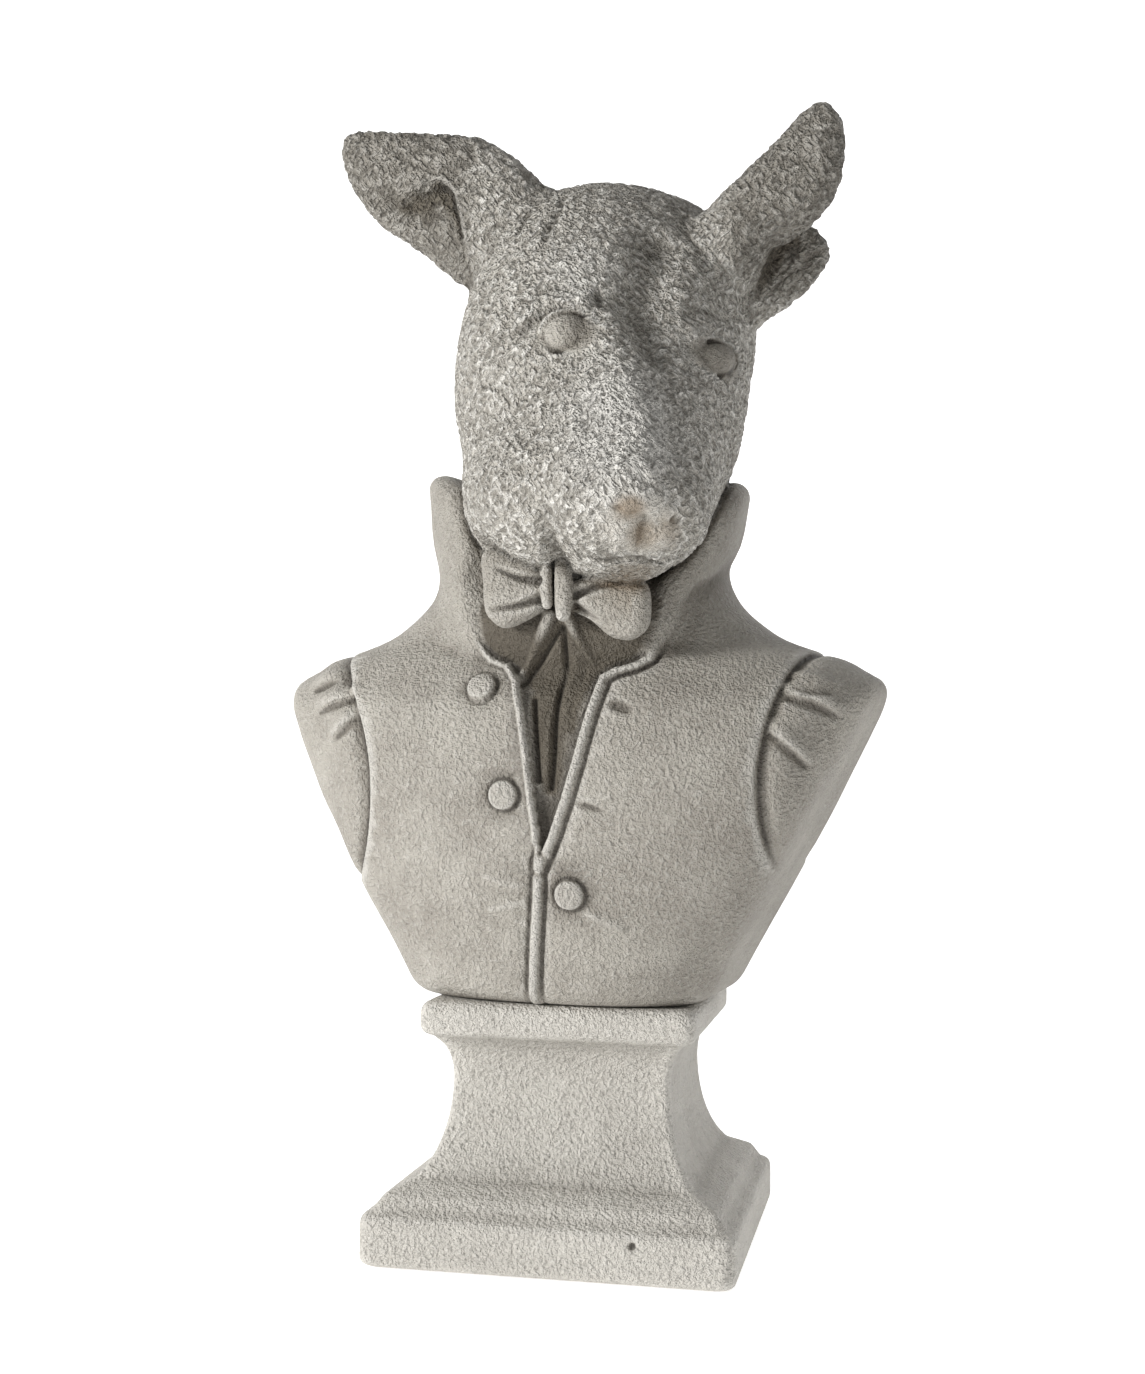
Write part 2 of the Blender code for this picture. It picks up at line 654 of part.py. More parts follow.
def add_waistcoat_front(clay):
    """Opens the waistcoat at the throat and lays the piping along its edges."""
    left = np.array(OPENING_LEFT, float)
    right = np.array(OPENING_RIGHT, float)
    placket = smooth_path(PLACKET, 9)

    def height(x, y, z):
        low_z = np.clip(z, left[-1, 1], left[0, 1])
        left_x = np.interp(low_z, left[::-1, 1], left[::-1, 0])
        right_x = np.interp(low_z, right[::-1, 1], right[::-1, 0])
        open_by = np.minimum(np.minimum(x - left_x, right_x - x), z - right[-1, 1])
        gap_left, _ = distance_to_path(left, x, z)
        gap_right, _ = distance_to_path(right, x, z)
        gap_down, _ = distance_to_path(placket, x, z)
        piping = np.maximum(ridge(gap_left, LEFT_PIPING_WIDTH), ridge(gap_right, RIGHT_PIPING_WIDTH))
        raised = PIPING_HEIGHT * np.maximum(piping, ridge(gap_down, PLACKET_WIDTH))
        groove = GROOVE_DEPTH * np.maximum(ridge(gap_down - PLACKET_GROOVE_AWAY, GROOVE_WIDTH),
                                           ridge(gap_right - RIGHT_GROOVE_AWAY, GROOVE_WIDTH))
        opened = OPENING_DEPTH * step_between(open_by, 0, 3.0)
        lifted = np.where(open_by < 1.5, raised - groove, 0)
        return (lifted - opened) * step_between(-y, 15, 30)

    clay.relief((-60, -120, 125), (75, -10, 330), height)
    for x, z in BUTTONS:
        place = clay.hit((x, -170, z), (0, 1, 0))
        clay.add(disc(place, clay.normal(place), BUTTON_RADIUS, BUTTON_HEIGHT), 0.2)
    for start, end, half_height, depth in BUTTONHOLES:
        path = clay.on_front((start, end), 5, lift=half_height - depth)
        clay.cut(strand(path, half_height * np.array((0.7, 0.95, 1.0, 0.95, 0.7))), 0.6)
    for pull in PULLS:
        clay.add(strand(clay.on_front(pull, 5, lift=-PULL_SINK), FOLD_SHAPE * PULL_RADIUS), 4)


def add_shirt_and_bow(clay):
    place, radii = NECKCLOTH
    clay.add(ball(place, radii), 8)
    for fold in FOLDS:
        path = clay.on_front(fold, 5, lift=-SHIRT_FOLD_SINK)
        clay.add(strand(path, FOLD_SHAPE * SHIRT_FOLD_RADIUS), 3)
    for tail, radius in zip(TAILS, TAIL_RADII):
        clay.add(strand(clay.on_front(tail, 8), np.linspace(radius, radius * TAIL_END, 8)), 1.5)
    for pleat in PLEATS:
        clay.cut(strand(clay.on_front(pleat, 9), PLEAT_RADIUS), 1.5)
    for outline in (BOW_LEFT, BOW_RIGHT):
        clay.add(pad(smooth_outline(outline), BOW_DEPTH, BOW_THICKNESS, 9.0, lean=0.1), 2.0)
    for crease in BOW_CREASES:
        clay.cut(strand(clay.on_front(crease, 8), np.linspace(*BOW_CREASE_RADII, 8)), 1.8)
    for lobe, radius in zip(KNOT, KNOT_RADII):
        path = [(x, BOW_DEPTH - KNOT_FORWARD, z) for x, z in smooth_path(lobe, 6)]
        clay.add(strand(path, radius * np.array(KNOT_SHAPE)), 0.6)


def add_collar(clay):
    foot = smooth_path(COLLAR_FOOT, 61)
    bend = smooth_path(COLLAR_BEND, 61)
    flare = smooth_path(COLLAR_FLARE, 61)
    top = smooth_path(COLLAR_TOP, 61)
    levels = np.linspace(0, 1, 13)
    rows = []
    for column in zip(foot, bend, flare, top):
        rows.append(through((0, 0.36, 0.7, 1), np.array(column), levels))
    clay.add_skin(*sheet(rows), swell=COLLAR_RADIUS, blend=5.0)


def add_neck(clay):
    places = [place for place, _ in NECK]
    radii = [radius for _, radius in NECK]
    clay.add(strand(smooth_path(places, 5), np.interp(range(5), (0, 2, 4), radii)), 4)


def head_skin():
    rings = []
    table = np.array([(*top, *under, half, middle) for top, under, half, middle in HEAD_RINGS])
    x, up = superellipse(64, 2.15)
    for row in through(np.arange(len(table)), table, np.linspace(0, len(table) - 1, 57)):
        top = np.array((0, row[0], row[1]))
        under = np.array((0, row[2], row[3]))
        middle = (top + under) / 2
        arm = (top - under) / 2
        ring = middle + up[:, None] * arm + np.stack([x * row[4] + row[5], 0 * x, 0 * x], axis=1)
        rings.append(from_head(ring))
    return close_rings(rings)


def facing(normal, up):
    """A rotation whose second axis points into a surface and whose third points up along it."""
    side = np.cross(-normal, up)
    side /= np.linalg.norm(side)
    return np.stack([side, -normal, np.cross(side, -normal)], axis=1)


def add_head(clay):
    clay.add_skin(*head_skin(), blend=10.0)
    for lump in THROAT:
        clay.add(ball(*lump), 18)
    clay.add(ball(from_head(JAW[0]), JAW[1], HEAD), 3)
    for brow in BROWS:
        clay.add(strand(clay.on_face(brow, 9, lift=-BROW_SINK), BROW_RADIUS), 7)
    valley = clay.on_face(FOREHEAD_VALLEY, 7, lift=VALLEY_RADIUS - VALLEY_DEPTH)
    radii = np.interp(range(7), (0, 2), (VALLEY_END_RADIUS, VALLEY_RADIUS))
    clay.cut(strand(valley, radii), 10)
    clay.cut(strand(clay.on_face(FURROW, 5), FOLD_SHAPE * FURROW_RADIUS), 2.5)
    for wrinkle in EAR_WRINKLES:
        clay.cut(strand(clay.on_face(wrinkle, 5), FOLD_SHAPE * WRINKLE_RADIUS), 3)
    clay.add(strand(clay.on_face(BRIDGE, 7, lift=BRIDGE_LIFT - BRIDGE_RADIUS), BRIDGE_RADIUS), 14)
    for eye in EYES:
        add_eye(clay, *eye)
    clay.cut(strand(clay.on_face(LID_FOLD, 9), LID_FOLD_RADIUS * np.linspace(1, 0.3, 9)), 2)
    add_muzzle(clay)


def add_eye(clay, x, z, half_width, half_height, tilt):
    """A bulging blank eyeball, a groove round it, a thick upper lid and a thin inner corner."""
    place = clay.on_face([(x, z)])[0]
    normal = clay.normal(place)
    outward = normal - HEAD[:, 1]
    outward = outward / np.linalg.norm(outward)
    turn = facing(outward, HEAD @ (-math.sin(tilt), 0, math.cos(tilt)))
    centre = place - normal * EYE_SINK

    def loop(margin, depth):
        angles = np.linspace(0, 2 * math.pi, 33)
        return [centre + turn @ ((half_width + margin) * math.cos(angle), -depth,
                                 (half_height + margin) * math.sin(angle)) for angle in angles]

    lid = loop(LID_MARGIN, LID_LIFT)
    clay.add(strand(lid[:17], LID_LOWER + (LID_UPPER - LID_LOWER) * np.sin(np.linspace(0, math.pi, 17))), 5)
    clay.add(strand(lid[28:], LID_LOWER), 4)
    clay.cut(strand(loop(0, EYE_SINK), EYE_GROOVE), 0.6)
    clay.add(ball(centre, (half_width - EYE_GAP, EYE_DEPTH, half_height - EYE_GAP), turn), 0.3)


def add_muzzle(clay):
    """The nose's leather with its nostrils, and the mouth with the upper lip standing over the jaw."""
    clay.add(strand(clay.on_face(NOSE_RIDGE, 5, lift=-NOSE_SINK), NOSE_RADIUS), 4)
    for bump in NOSE_BUMPS:
        clay.add(ball(clay.on_face([bump], lift=-NOSE_SINK)[0], NOSE_BUMP_RADII), 5)
    for nostril in NOSTRILS:
        clay.cut(ball(clay.on_face([nostril])[0], NOSTRIL_RADII), 2)
    clay.cut(strand(clay.on_face(PHILTRUM, 5), PHILTRUM_RADIUS), 2.5)
    below = np.array(MOUTH) * (1.04, 1.0) - (0, 5)
    radii = np.interp(np.linspace(0, 1, 12), (0, 0.6), (LIP_REACH - LIP_STEP, LIP_REACH))
    clay.cut(strand(clay.on_face(below[:5], 12, lift=LIP_REACH - LIP_STEP), radii), 3)
    radii = np.interp(np.linspace(0, 1, 31), (0, 0.2, 0.6, 1), LIP_LINE_RADII)
    clay.cut(strand(clay.on_face(MOUTH, 31), radii), 1.5)


def ear_skin(sections):
    rings = []
    table = np.array([(*top, *under, depth, half) for top, under, depth, half in sections], float)
    along, out = superellipse(40, 2.2)
    for row in through(np.arange(len(table)), table, np.linspace(0, len(table) - 1, 4 * len(table))):
        x = (row[0] + row[2]) / 2 + along * (row[0] - row[2]) / 2
        z = (row[1] + row[3]) / 2 + along * (row[1] - row[3]) / 2
        rings.append(np.stack([x, row[4] + out * row[5], z], axis=1))
    return close_rings(rings)


def hollow_left_ear(clay):
    """Sinks the ear's inside behind its folded edge, deepest in the upper corner of the fold."""
    fold = np.array(EAR_FOLD, float)
    band = np.array(EAR_BAND, float)

    def height(x, y, z):
        left_by = np.interp(z, fold[:, 1], fold[:, 0]) - x
        below_by = np.interp(x, band[:, 0], band[:, 1]) - z
        edge = step_between(left_by, 0, 3.5) * step_between(below_by, 0, 8)
        fade = np.clip(1 - left_by / EAR_HOLLOW_REACH[0], 0, 1)
        fade = fade * np.clip(1 - below_by / EAR_HOLLOW_REACH[1], 0, 1)
        return -EAR_HOLLOW_DEPTH * edge * fade * step_between(-y, 6, 16)

    clay.relief((-140, -60, 516), (-52, -2, 582), height)


def add_ears(clay):
    for sections in (EAR_LEFT, EAR_RIGHT, EAR_RIGHT_BACK):
        clay.add_skin(*ear_skin(sections), blend=8.0)
    for place, radii, lean in EAR_LEFT_SCOOPS + EAR_RIGHT_SCOOPS:
        c = math.cos(lean)
        s = math.sin(lean)
        turn = np.array(((c, 0, -s), (0, 1, 0), (s, 0, c)))
        clay.cut(ball(place, radii, turn), 4)
    hollow_left_ear(clay)


def bust_skin(step):
    clothes = Clay(CLAY_LOW, CLAY_HIGH, step)
    add_torso(clothes)
    add_sleeves(clothes)
    add_waistcoat_front(clothes)
    cut_arms_and_seat(clothes)
    add_shirt_and_bow(clothes)
    add_collar(clothes)
    head = Clay(CLAY_LOW, CLAY_HIGH, step)
    add_neck(head)
    add_head(head)
    add_ears(head)
    clothes.field = smooth_min(clothes.field, head.field, 1.0)
    clothes.smooth()
    return clothes.skin()


def cement():
    material = bpy.data.materials.new("cast_cement")
    material.use_nodes = True
    shader = material.node_tree.nodes["Principled BSDF"]
    shader.inputs["Base Color"].default_value = CEMENT
    shader.inputs["Roughness"].default_value = 0.9
    shader.inputs["Metallic"].default_value = 0.0
    return material


def make_bust(material):
    points, quads = bust_skin(CLAY_STEP)
    mesh = bpy.data.meshes.new("dog_bust")
    mesh.from_pydata((points * MM).tolist(), [], quads.tolist())
    mesh.validate()
    mesh.materials.append(material)
    bust = bpy.data.objects.new("dog_bust", mesh)
    bpy.context.collection.objects.link(bust)
    bust.location = (0, 0, (PLINTH_HEIGHT + SEAT_GAP - CLAY_SEAT) * MM)
    bust.rotation_euler = (0, 0, -BUST_TURN)
    thin = bust.modifiers.new("Decimate", "DECIMATE")
    thin.ratio = BUST_FACES / (2 * len(quads))
    return bust


def corner_square(width, z, radius, corner_steps=3):
    """A square ring with rounded corners."""
    points = []
    half = width / 2 - radius
    for corner in range(4):
        angle = math.pi / 2 * corner
        sx = 1 if corner in (0, 3) else -1
        sy = 1 if corner in (0, 1) else -1
        for step in range(corner_steps + 1):
            a = angle + math.pi / 2 * step / corner_steps
            points.append((sx * half + radius * math.cos(a), sy * half + radius * math.sin(a), z))
    return points


def quarter_round(count):
    """Points (inward, downward) of a rounded edge of radius 1, from its side to its top."""
    angles = np.linspace(0, math.pi / 2, count)
    return [(1 - math.cos(angle), 1 - math.sin(angle)) for angle in angles]


def plinth_profile():
    """Levels (width, z, corner radius) from the underside to the top."""
    levels = []
    for inward, downward in quarter_round(4)[::-1]:
        levels.append((PLINTH_WIDTH - 2 * FOOT_EDGE * inward, FOOT_EDGE * downward, FOOT_CORNER))
    for inward, downward in quarter_round(4):
        width = PLINTH_WIDTH - 2 * FOOT_EDGE * inward
        levels.append((width, FOOT_HEIGHT - FOOT_EDGE * downward, FOOT_CORNER))
    ledge = FOOT_HEIGHT + LEDGE_RISE
    ledge_width = PLINTH_WIDTH - 2 * LEDGE_INSET
    levels.append((ledge_width, ledge, WAIST_CORNER))
    for t in np.linspace(0, 1, 10)[1:]:
        bow = 1 - math.sqrt(1 - (1 - t) ** 2)
        width = WAIST_WIDTH + (ledge_width - WAIST_WIDTH) * bow
        levels.append((width, ledge + (WAIST_LEVEL - ledge) * t, WAIST_CORNER))
    cap_foot = PLINTH_HEIGHT - CAP_HEIGHT
    for t in np.linspace(0, 1, 5)[1:]:
        flare = (1 - math.sqrt(1 - CAP_FLARE * t ** 2)) / (1 - math.sqrt(1 - CAP_FLARE))
        width = WAIST_WIDTH + (CAP_FOOT_WIDTH - WAIST_WIDTH) * flare
        levels.append((width, WAIST_LEVEL + (cap_foot - WAIST_LEVEL) * t, WAIST_CORNER))
    for inward, downward in quarter_round(5)[::-1]:
        levels.append((CAP_WIDTH - 2 * CAP_EDGE * inward, cap_foot + CAP_EDGE * downward, CAP_CORNER))
    for inward, downward in quarter_round(5):
        levels.append((CAP_WIDTH - 2 * CAP_EDGE * inward, PLINTH_HEIGHT - CAP_EDGE * downward, CAP_CORNER))
    return levels


def make_plinth(material):
    work = bmesh.new()
    rings = []
    for width, z, radius in plinth_profile():
        rings.append([work.verts.new(np.array(point) * MM) for point in corner_square(width, z, radius)])
    for low, high in zip(rings, rings[1:]):
        for index in range(len(low)):
            after = (index + 1) % len(low)
            work.faces.new((low[index], low[after], high[after], high[index]))
    work.faces.new(rings[0][::-1])
    work.faces.new(rings[-1])
    bmesh.ops.triangulate(work, faces=[face for face in work.faces if len(face.verts) > 4])
    mesh = bpy.data.meshes.new("plinth")
    work.to_mesh(mesh)
    work.free()
    mesh.materials.append(material)
    plinth = bpy.data.objects.new("plinth", mesh)
    bpy.context.collection.objects.link(plinth)
    return plinth


for old in list(bpy.data.objects):
    bpy.data.objects.remove(old)
make_bust(cement())
make_plinth(cement())
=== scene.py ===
# %% [markdown]
# # A cast cement bust of a dog on its loose plinth
#
# The object is two castings: the dog in its waistcoat, and the square plinth below it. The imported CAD
# model holds both as plain solids of a few thousand faces. Here each solid is replaced by a finer casting
# of the same form, made by the same steps from the same sizes, and then given its tool marks, its pits
# and its cement.

import math

import bmesh
import bpy
import numpy as np
import openvdb
from mathutils import Matrix, Vector


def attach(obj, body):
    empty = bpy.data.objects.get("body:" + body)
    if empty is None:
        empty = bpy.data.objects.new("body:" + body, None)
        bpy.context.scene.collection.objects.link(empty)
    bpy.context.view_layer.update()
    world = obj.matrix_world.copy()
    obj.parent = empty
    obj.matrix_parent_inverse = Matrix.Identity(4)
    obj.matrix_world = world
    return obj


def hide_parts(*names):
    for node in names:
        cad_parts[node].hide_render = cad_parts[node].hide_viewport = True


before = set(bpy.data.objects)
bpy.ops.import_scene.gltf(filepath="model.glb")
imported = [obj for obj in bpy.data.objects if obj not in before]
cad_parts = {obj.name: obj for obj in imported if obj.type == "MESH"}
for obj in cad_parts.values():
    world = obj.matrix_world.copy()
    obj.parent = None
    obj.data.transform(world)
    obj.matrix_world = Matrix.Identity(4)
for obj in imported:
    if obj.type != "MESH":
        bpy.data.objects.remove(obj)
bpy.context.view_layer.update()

# %% [markdown]
# ## Clay
#
# A modeller builds such a bust in clay: lumps are laid on, blended with the thumb and cut with a wire.
# The same can be done with a grid that holds, at every place, the distance to the surface of the clay.
# Two lumps join with a soft fillet where the smaller of their distances is taken smoothly, and a cut is
# the same step turned inside out. This was chosen over subdivision modelling because a bust is full of
# forms that run into each other, and over sculpting by hand because every form keeps a size with a name.

# %% Soft steps and curves
MM = 0.001


def smooth_min(a, b, blend):
    """The nearer of two distances, with a fillet about as wide as the blend where they meet."""
    if blend <= 0:
        return np.minimum(a, b)
    close = np.maximum(blend - np.abs(a - b), 0) / blend
    return np.minimum(a, b) - close * close * blend / 4


def step_between(value, low, high):
    """0 up to low, 1 from high on, and an S-shaped rise between them."""
    t = np.clip((value - low) / (high - low), 0, 1)
    return t * t * (3 - 2 * t)


def through(places, values, at):
    """Values of a smooth curve through a table's rows."""
    places = np.asarray(places, float)
    values = np.asarray(values, float)
    slopes = np.gradient(values, places, axis=0)
    at = np.clip(at, places[0], places[-1])
    row = np.clip(np.searchsorted(places, at, side="right") - 1, 0, len(places) - 2)
    span = places[row + 1] - places[row]
    t = (at - places[row]) / span
    if values.ndim > 1:
        t = t[:, None]
        span = span[:, None]
    start = (1 + 2 * t) * (1 - t) ** 2 * values[row] + t * (1 - t) ** 2 * span * slopes[row]
    end = t * t * (3 - 2 * t) * values[row + 1] + t * t * (t - 1) * span * slopes[row + 1]
    return start + end


def smooth_path(points, count):
    """Points spread along a smooth curve through the given ones."""
    points = np.asarray(points, float)
    lengths = np.linalg.norm(np.diff(points, axis=0), axis=1)
    along = np.append(0, np.cumsum(lengths))
    return through(along, points, np.linspace(0, along[-1], count))


def smooth_outline(points, per_side=4):
    """A closed smooth outline through the given corners."""
    points = np.asarray(points, float)
    wrapped = np.concatenate([points[-3:], points, points[:4]])
    lengths = np.linalg.norm(np.diff(wrapped, axis=0), axis=1)
    along = np.append(0, np.cumsum(lengths))
    at = np.linspace(along[3], along[3 + len(points)], per_side * len(points), endpoint=False)
    return through(along, wrapped, at)

# %% Distances in the plane of the chest
def distance_to_path(points, x, z):
    """Distance in the (x, z) plane to a line through the points, and how far along it the nearest is."""
    best = None
    for index in range(len(points) - 1):
        ax, az = points[index]
        bx, bz = points[index + 1]
        dx = bx - ax
        dz = bz - az
        t = np.clip(((x - ax) * dx + (z - az) * dz) / (dx * dx + dz * dz + 1e-9), 0, 1)
        gap = np.hypot(x - ax - t * dx, z - az - t * dz)
        here = (index + t) / (len(points) - 1)
        if best is None:
            best = gap
            where = here
        else:
            where = np.where(gap < best, here, where)
            best = np.minimum(best, gap)
    return best, where


def distance_to_outline(points, x, z):
    """Signed distance in the (x, z) plane to a closed outline, below 0 inside it."""
    best = np.full(np.broadcast(x, z).shape, np.inf)
    inside = np.zeros(best.shape, bool)
    for index in range(len(points)):
        ax, az = points[index - 1]
        bx, bz = points[index]
        dx = bx - ax
        dz = bz - az
        t = np.clip(((x - ax) * dx + (z - az) * dz) / (dx * dx + dz * dz + 1e-9), 0, 1)
        best = np.minimum(best, np.hypot(x - ax - t * dx, z - az - t * dz))
        crosses = (z >= az) != (z >= bz)
        side = (x - ax) * dz - (z - az) * dx
        inside ^= crosses & ((side < 0) == (dz > 0))
    return np.where(inside, -best, best)

# %% Lumps of clay: a ball, a button, a rope and a cushion
def ball(place, radii, turn=None):
    """An ellipsoid, its axes turned by a rotation matrix."""
    place = np.array(place, float)
    radii = np.array(radii, float)
    turn = np.eye(3) if turn is None else turn
    extent = np.sqrt((turn * turn) @ (radii * radii))

    def distance(x, y, z):
        x = x - place[0]
        y = y - place[1]
        z = z - place[2]
        scaled = 0
        twice = 0
        for axis in range(3):
            local = x * turn[0, axis] + y * turn[1, axis] + z * turn[2, axis]
            scaled = scaled + (local / radii[axis]) ** 2
            twice = twice + (local / radii[axis] ** 2) ** 2
        return np.sqrt(scaled) * (np.sqrt(scaled) - 1) / np.sqrt(twice + 1e-9)

    return place - extent, place + extent, distance


def disc(place, normal, radius, height):
    """A round tablet with softened edges, its axis along the normal."""
    reach = np.full(3, radius + height)

    def distance(x, y, z):
        x = x - place[0]
        y = y - place[1]
        z = z - place[2]
        along = x * normal[0] + y * normal[1] + z * normal[2]
        away = np.sqrt(np.maximum(x * x + y * y + z * z - along * along, 0))
        return -smooth_min(radius - away, height - np.abs(along), 2.0)

    return place - reach, place + reach, distance


def strand(points, radii):
    """A rope of clay along the points, its radius given once or at each point."""
    points = np.asarray(points, float)
    radii = np.broadcast_to(np.asarray(radii, float), len(points))
    reach = radii.max()

    def distance(x, y, z):
        best = np.inf
        for index in range(len(points) - 1):
            start = points[index]
            run = points[index + 1] - start
            t = (x - start[0]) * run[0] + (y - start[1]) * run[1] + (z - start[2]) * run[2]
            t = np.clip(t / (run @ run + 1e-9), 0, 1)
            dx = x - start[0] - t * run[0]
            dy = y - start[1] - t * run[1]
            dz = z - start[2] - t * run[2]
            radius = radii[index] + t * (radii[index + 1] - radii[index])
            best = np.minimum(best, np.sqrt(dx * dx + dy * dy + dz * dz) - radius)
        return best

    return points.min(axis=0) - reach, points.max(axis=0) + reach, distance


def pad(outline, depth, thickness, rounding, lean=0.0):
    """A cushion with the outline (x, z), its middle at the depth, leaning back with height."""
    outline = np.asarray(outline, float)
    low = np.array((outline[:, 0].min(), depth - thickness, outline[:, 1].min()))
    high = np.array((outline[:, 0].max(), depth + thickness, outline[:, 1].max()))
    middle = outline[:, 1].mean()
    shift = abs(lean) * (high[2] - low[2]) / 2
    low[1] -= shift
    high[1] += shift

    def distance(x, y, z):
        flat = distance_to_outline(outline, x, z)
        thick = np.abs(y - depth - lean * (z - middle)) - thickness
        return -smooth_min(-flat, -thick, rounding)

    return low, high, distance

# %% The block of clay and what can be done to it
REACH = 20.0


class Clay:
    """A block of space whose grid holds the distance to the clay's surface, in mm, below 0 inside it."""

    def __init__(self, low, high, step):
        self.low = np.array(low, float)
        self.step = step
        counts = np.ceil((np.array(high, float) - self.low) / step).astype(int) + 1
        self.field = np.full(counts, REACH, np.float32)

    def window(self, low, high):
        """The grid between two corners: its slices, then its x, y and z ready to combine."""
        first = np.floor((np.asarray(low) - self.low) / self.step).astype(int)
        last = np.ceil((np.asarray(high) - self.low) / self.step).astype(int) + 1
        first = np.clip(first, 0, self.field.shape)
        last = np.clip(last, 0, self.field.shape)
        slices = tuple(slice(a, b) for a, b in zip(first, last))
        lines = [self.low[axis] + self.step * np.arange(first[axis], last[axis]) for axis in range(3)]
        return slices, *np.ix_(*lines)

    def add(self, shape, blend=0.0):
        low, high, distance = shape
        margin = blend + 2 * self.step
        slices, x, y, z = self.window(low - margin, high + margin)
        self.field[slices] = smooth_min(self.field[slices], distance(x, y, z), blend)

    def cut(self, shape, blend=0.0):
        low, high, distance = shape
        margin = blend + 2 * self.step
        slices, x, y, z = self.window(low - margin, high + margin)
        self.field[slices] = -smooth_min(-self.field[slices], distance(x, y, z), blend)

    def keep_below(self, height, blend):
        """Cuts the clay along a surface: height(x, y, z) is how far a place lies outside it."""
        slices, x, y, z = self.window(self.low, self.low + self.step * np.array(self.field.shape))
        self.field = -smooth_min(-self.field, -height(x, y, z), blend)

    def relief(self, low, high, height):
        """Raises the surface by height(x, y, z)."""
        slices, x, y, z = self.window(low, high)
        self.field[slices] -= height(x, y, z)

    def add_skin(self, points, quads, swell=0.0, blend=0.0):
        """Adds the inside of a closed skin, swollen by a distance that also rounds its edges."""
        margin = swell + blend + REACH / 2
        slices, x, y, z = self.window(points.min(axis=0) - margin, points.max(axis=0) + margin)
        start = np.array((x[0, 0, 0], y[0, 0, 0], z[0, 0, 0]))
        level = openvdb.FloatGrid.createLevelSetFromPolygons(
            (points - start).astype(np.float32),
            quads=quads.astype(np.uint32),
            transform=openvdb.createLinearTransform(self.step),
            halfWidth=REACH / self.step,
        )
        distance = np.empty(self.field[slices].shape, np.float32)
        level.copyToArray(distance)
        self.field[slices] = smooth_min(self.field[slices], distance - swell, blend)

    def read(self, points):
        """The field at places between the grid's own."""
        where = (np.asarray(points) - self.low) / self.step
        where = np.clip(where, 0, np.array(self.field.shape) - 1.001)
        base = where.astype(int)
        part = where - base
        total = 0
        for corner in np.ndindex(2, 2, 2):
            weight = np.prod(np.where(corner, part, 1 - part), axis=-1)
            i, j, k = np.moveaxis(base + corner, -1, 0)
            total = total + weight * self.field[i, j, k]
        return total

    def hit(self, start, direction):
        """The first place on the surface along a line that starts outside it."""
        run = np.arange(0, 320, self.step / 2)
        values = self.read(np.asarray(start) + run[:, None] * np.asarray(direction))
        first = max(int(np.argmax(values < 0)), 1)
        t = values[first - 1] / (values[first - 1] - values[first])
        return np.asarray(start) + (run[first - 1] + t * self.step / 2) * np.asarray(direction)

    def normal(self, place):
        """Which way the surface faces near a place."""
        shifts = np.eye(3) * 3
        slope = self.read(place + shifts) - self.read(place - shifts)
        return slope / np.linalg.norm(slope)

    def on_front(self, path, count=0, lift=0.0):
        """A path (x, z) laid on the side of the surface that faces the viewer."""
        path = smooth_path(path, count) if count else path
        return np.array([self.hit((x, -170, z), (0, 1, 0)) - (0, lift, 0) for x, z in path])

    def on_face(self, path, count=0, lift=0.0):
        """A path (x, z) in the head's frame, laid on the face."""
        path = smooth_path(path, count) if count else path
        forward = HEAD[:, 1]
        return np.array([self.hit(from_head((x, -185, z)), forward) - lift * forward for x, z in path])

    def smooth(self):
        """Softens what is finer than the grid."""
        for axis in range(3):
            lines = np.moveaxis(self.field, axis, 0)
            lines[1:-1] = lines[1:-1] / 2 + (lines[:-2] + lines[2:]) / 4

    def skin(self):
        """The clay's surface as points in mm and quads."""
        level = openvdb.FloatGrid()
        level.background = REACH
        level.copyFromArray(self.field)
        points, triangles, quads = level.convertToPolygons(isovalue=0, adaptivity=0)
        return points * self.step + self.low, quads

# %% Skins through rings and over a surface
def close_rings(rings):
    """The quads of a skin through rings of equally many points, and points that shut its two ends."""
    count = len(rings[0])
    points = np.concatenate([*rings, [np.mean(rings[0], axis=0)], [np.mean(rings[-1], axis=0)]])
    quads = []
    for level in range(len(rings) - 1):
        for index in range(count):
            after = (index + 1) % count
            quads.append((level * count + index, level * count + after, (level + 1) * count + after,
                          (level + 1) * count + index))
    first_end = len(rings) * count
    last = (len(rings) - 1) * count
    for index in range(0, count, 2):
        middle = index + 1
        after = (index + 2) % count
        quads.append((first_end, after, middle, index))
        quads.append((first_end + 1, last + index, last + middle, last + after))
    return points, np.array(quads)


def superellipse(count, squareness):
    """Points (x, y) round a squared-off circle of radius 1."""
    angle = np.linspace(0, 2 * math.pi, count, endpoint=False)
    power = 2 / squareness
    x = np.sign(np.cos(angle)) * np.abs(np.cos(angle)) ** power
    y = np.sign(np.sin(angle)) * np.abs(np.sin(angle)) ** power
    return x, y


def sheet(rows, thickness=1.0):
    """A closed thin skin round the surface that the rows of points span."""
    rows = np.asarray(rows, float)
    across = np.gradient(rows, axis=1)
    along = np.gradient(rows, axis=0)
    normal = np.cross(across, along)
    normal /= np.linalg.norm(normal, axis=2, keepdims=True) + 1e-9
    rings = []
    for row, out in zip(rows, normal):
        rings.append(np.concatenate([row + out * thickness / 2, (row - out * thickness / 2)[::-1]]))
    return close_rings(rings)

# %% [markdown]
# ## Torso, waistcoat and sleeves
#
# The chest is a stack of squared-off rings from a table of heights. Slanting planes take the arms off,
# and the waistcoat stands a few millimetres proud of the sleeves, which puff and gather at the seam.

# %% Torso
# How the bust stands on the plinth
SEAT_GAP = 0.3
CLAY_SEAT = 130.3

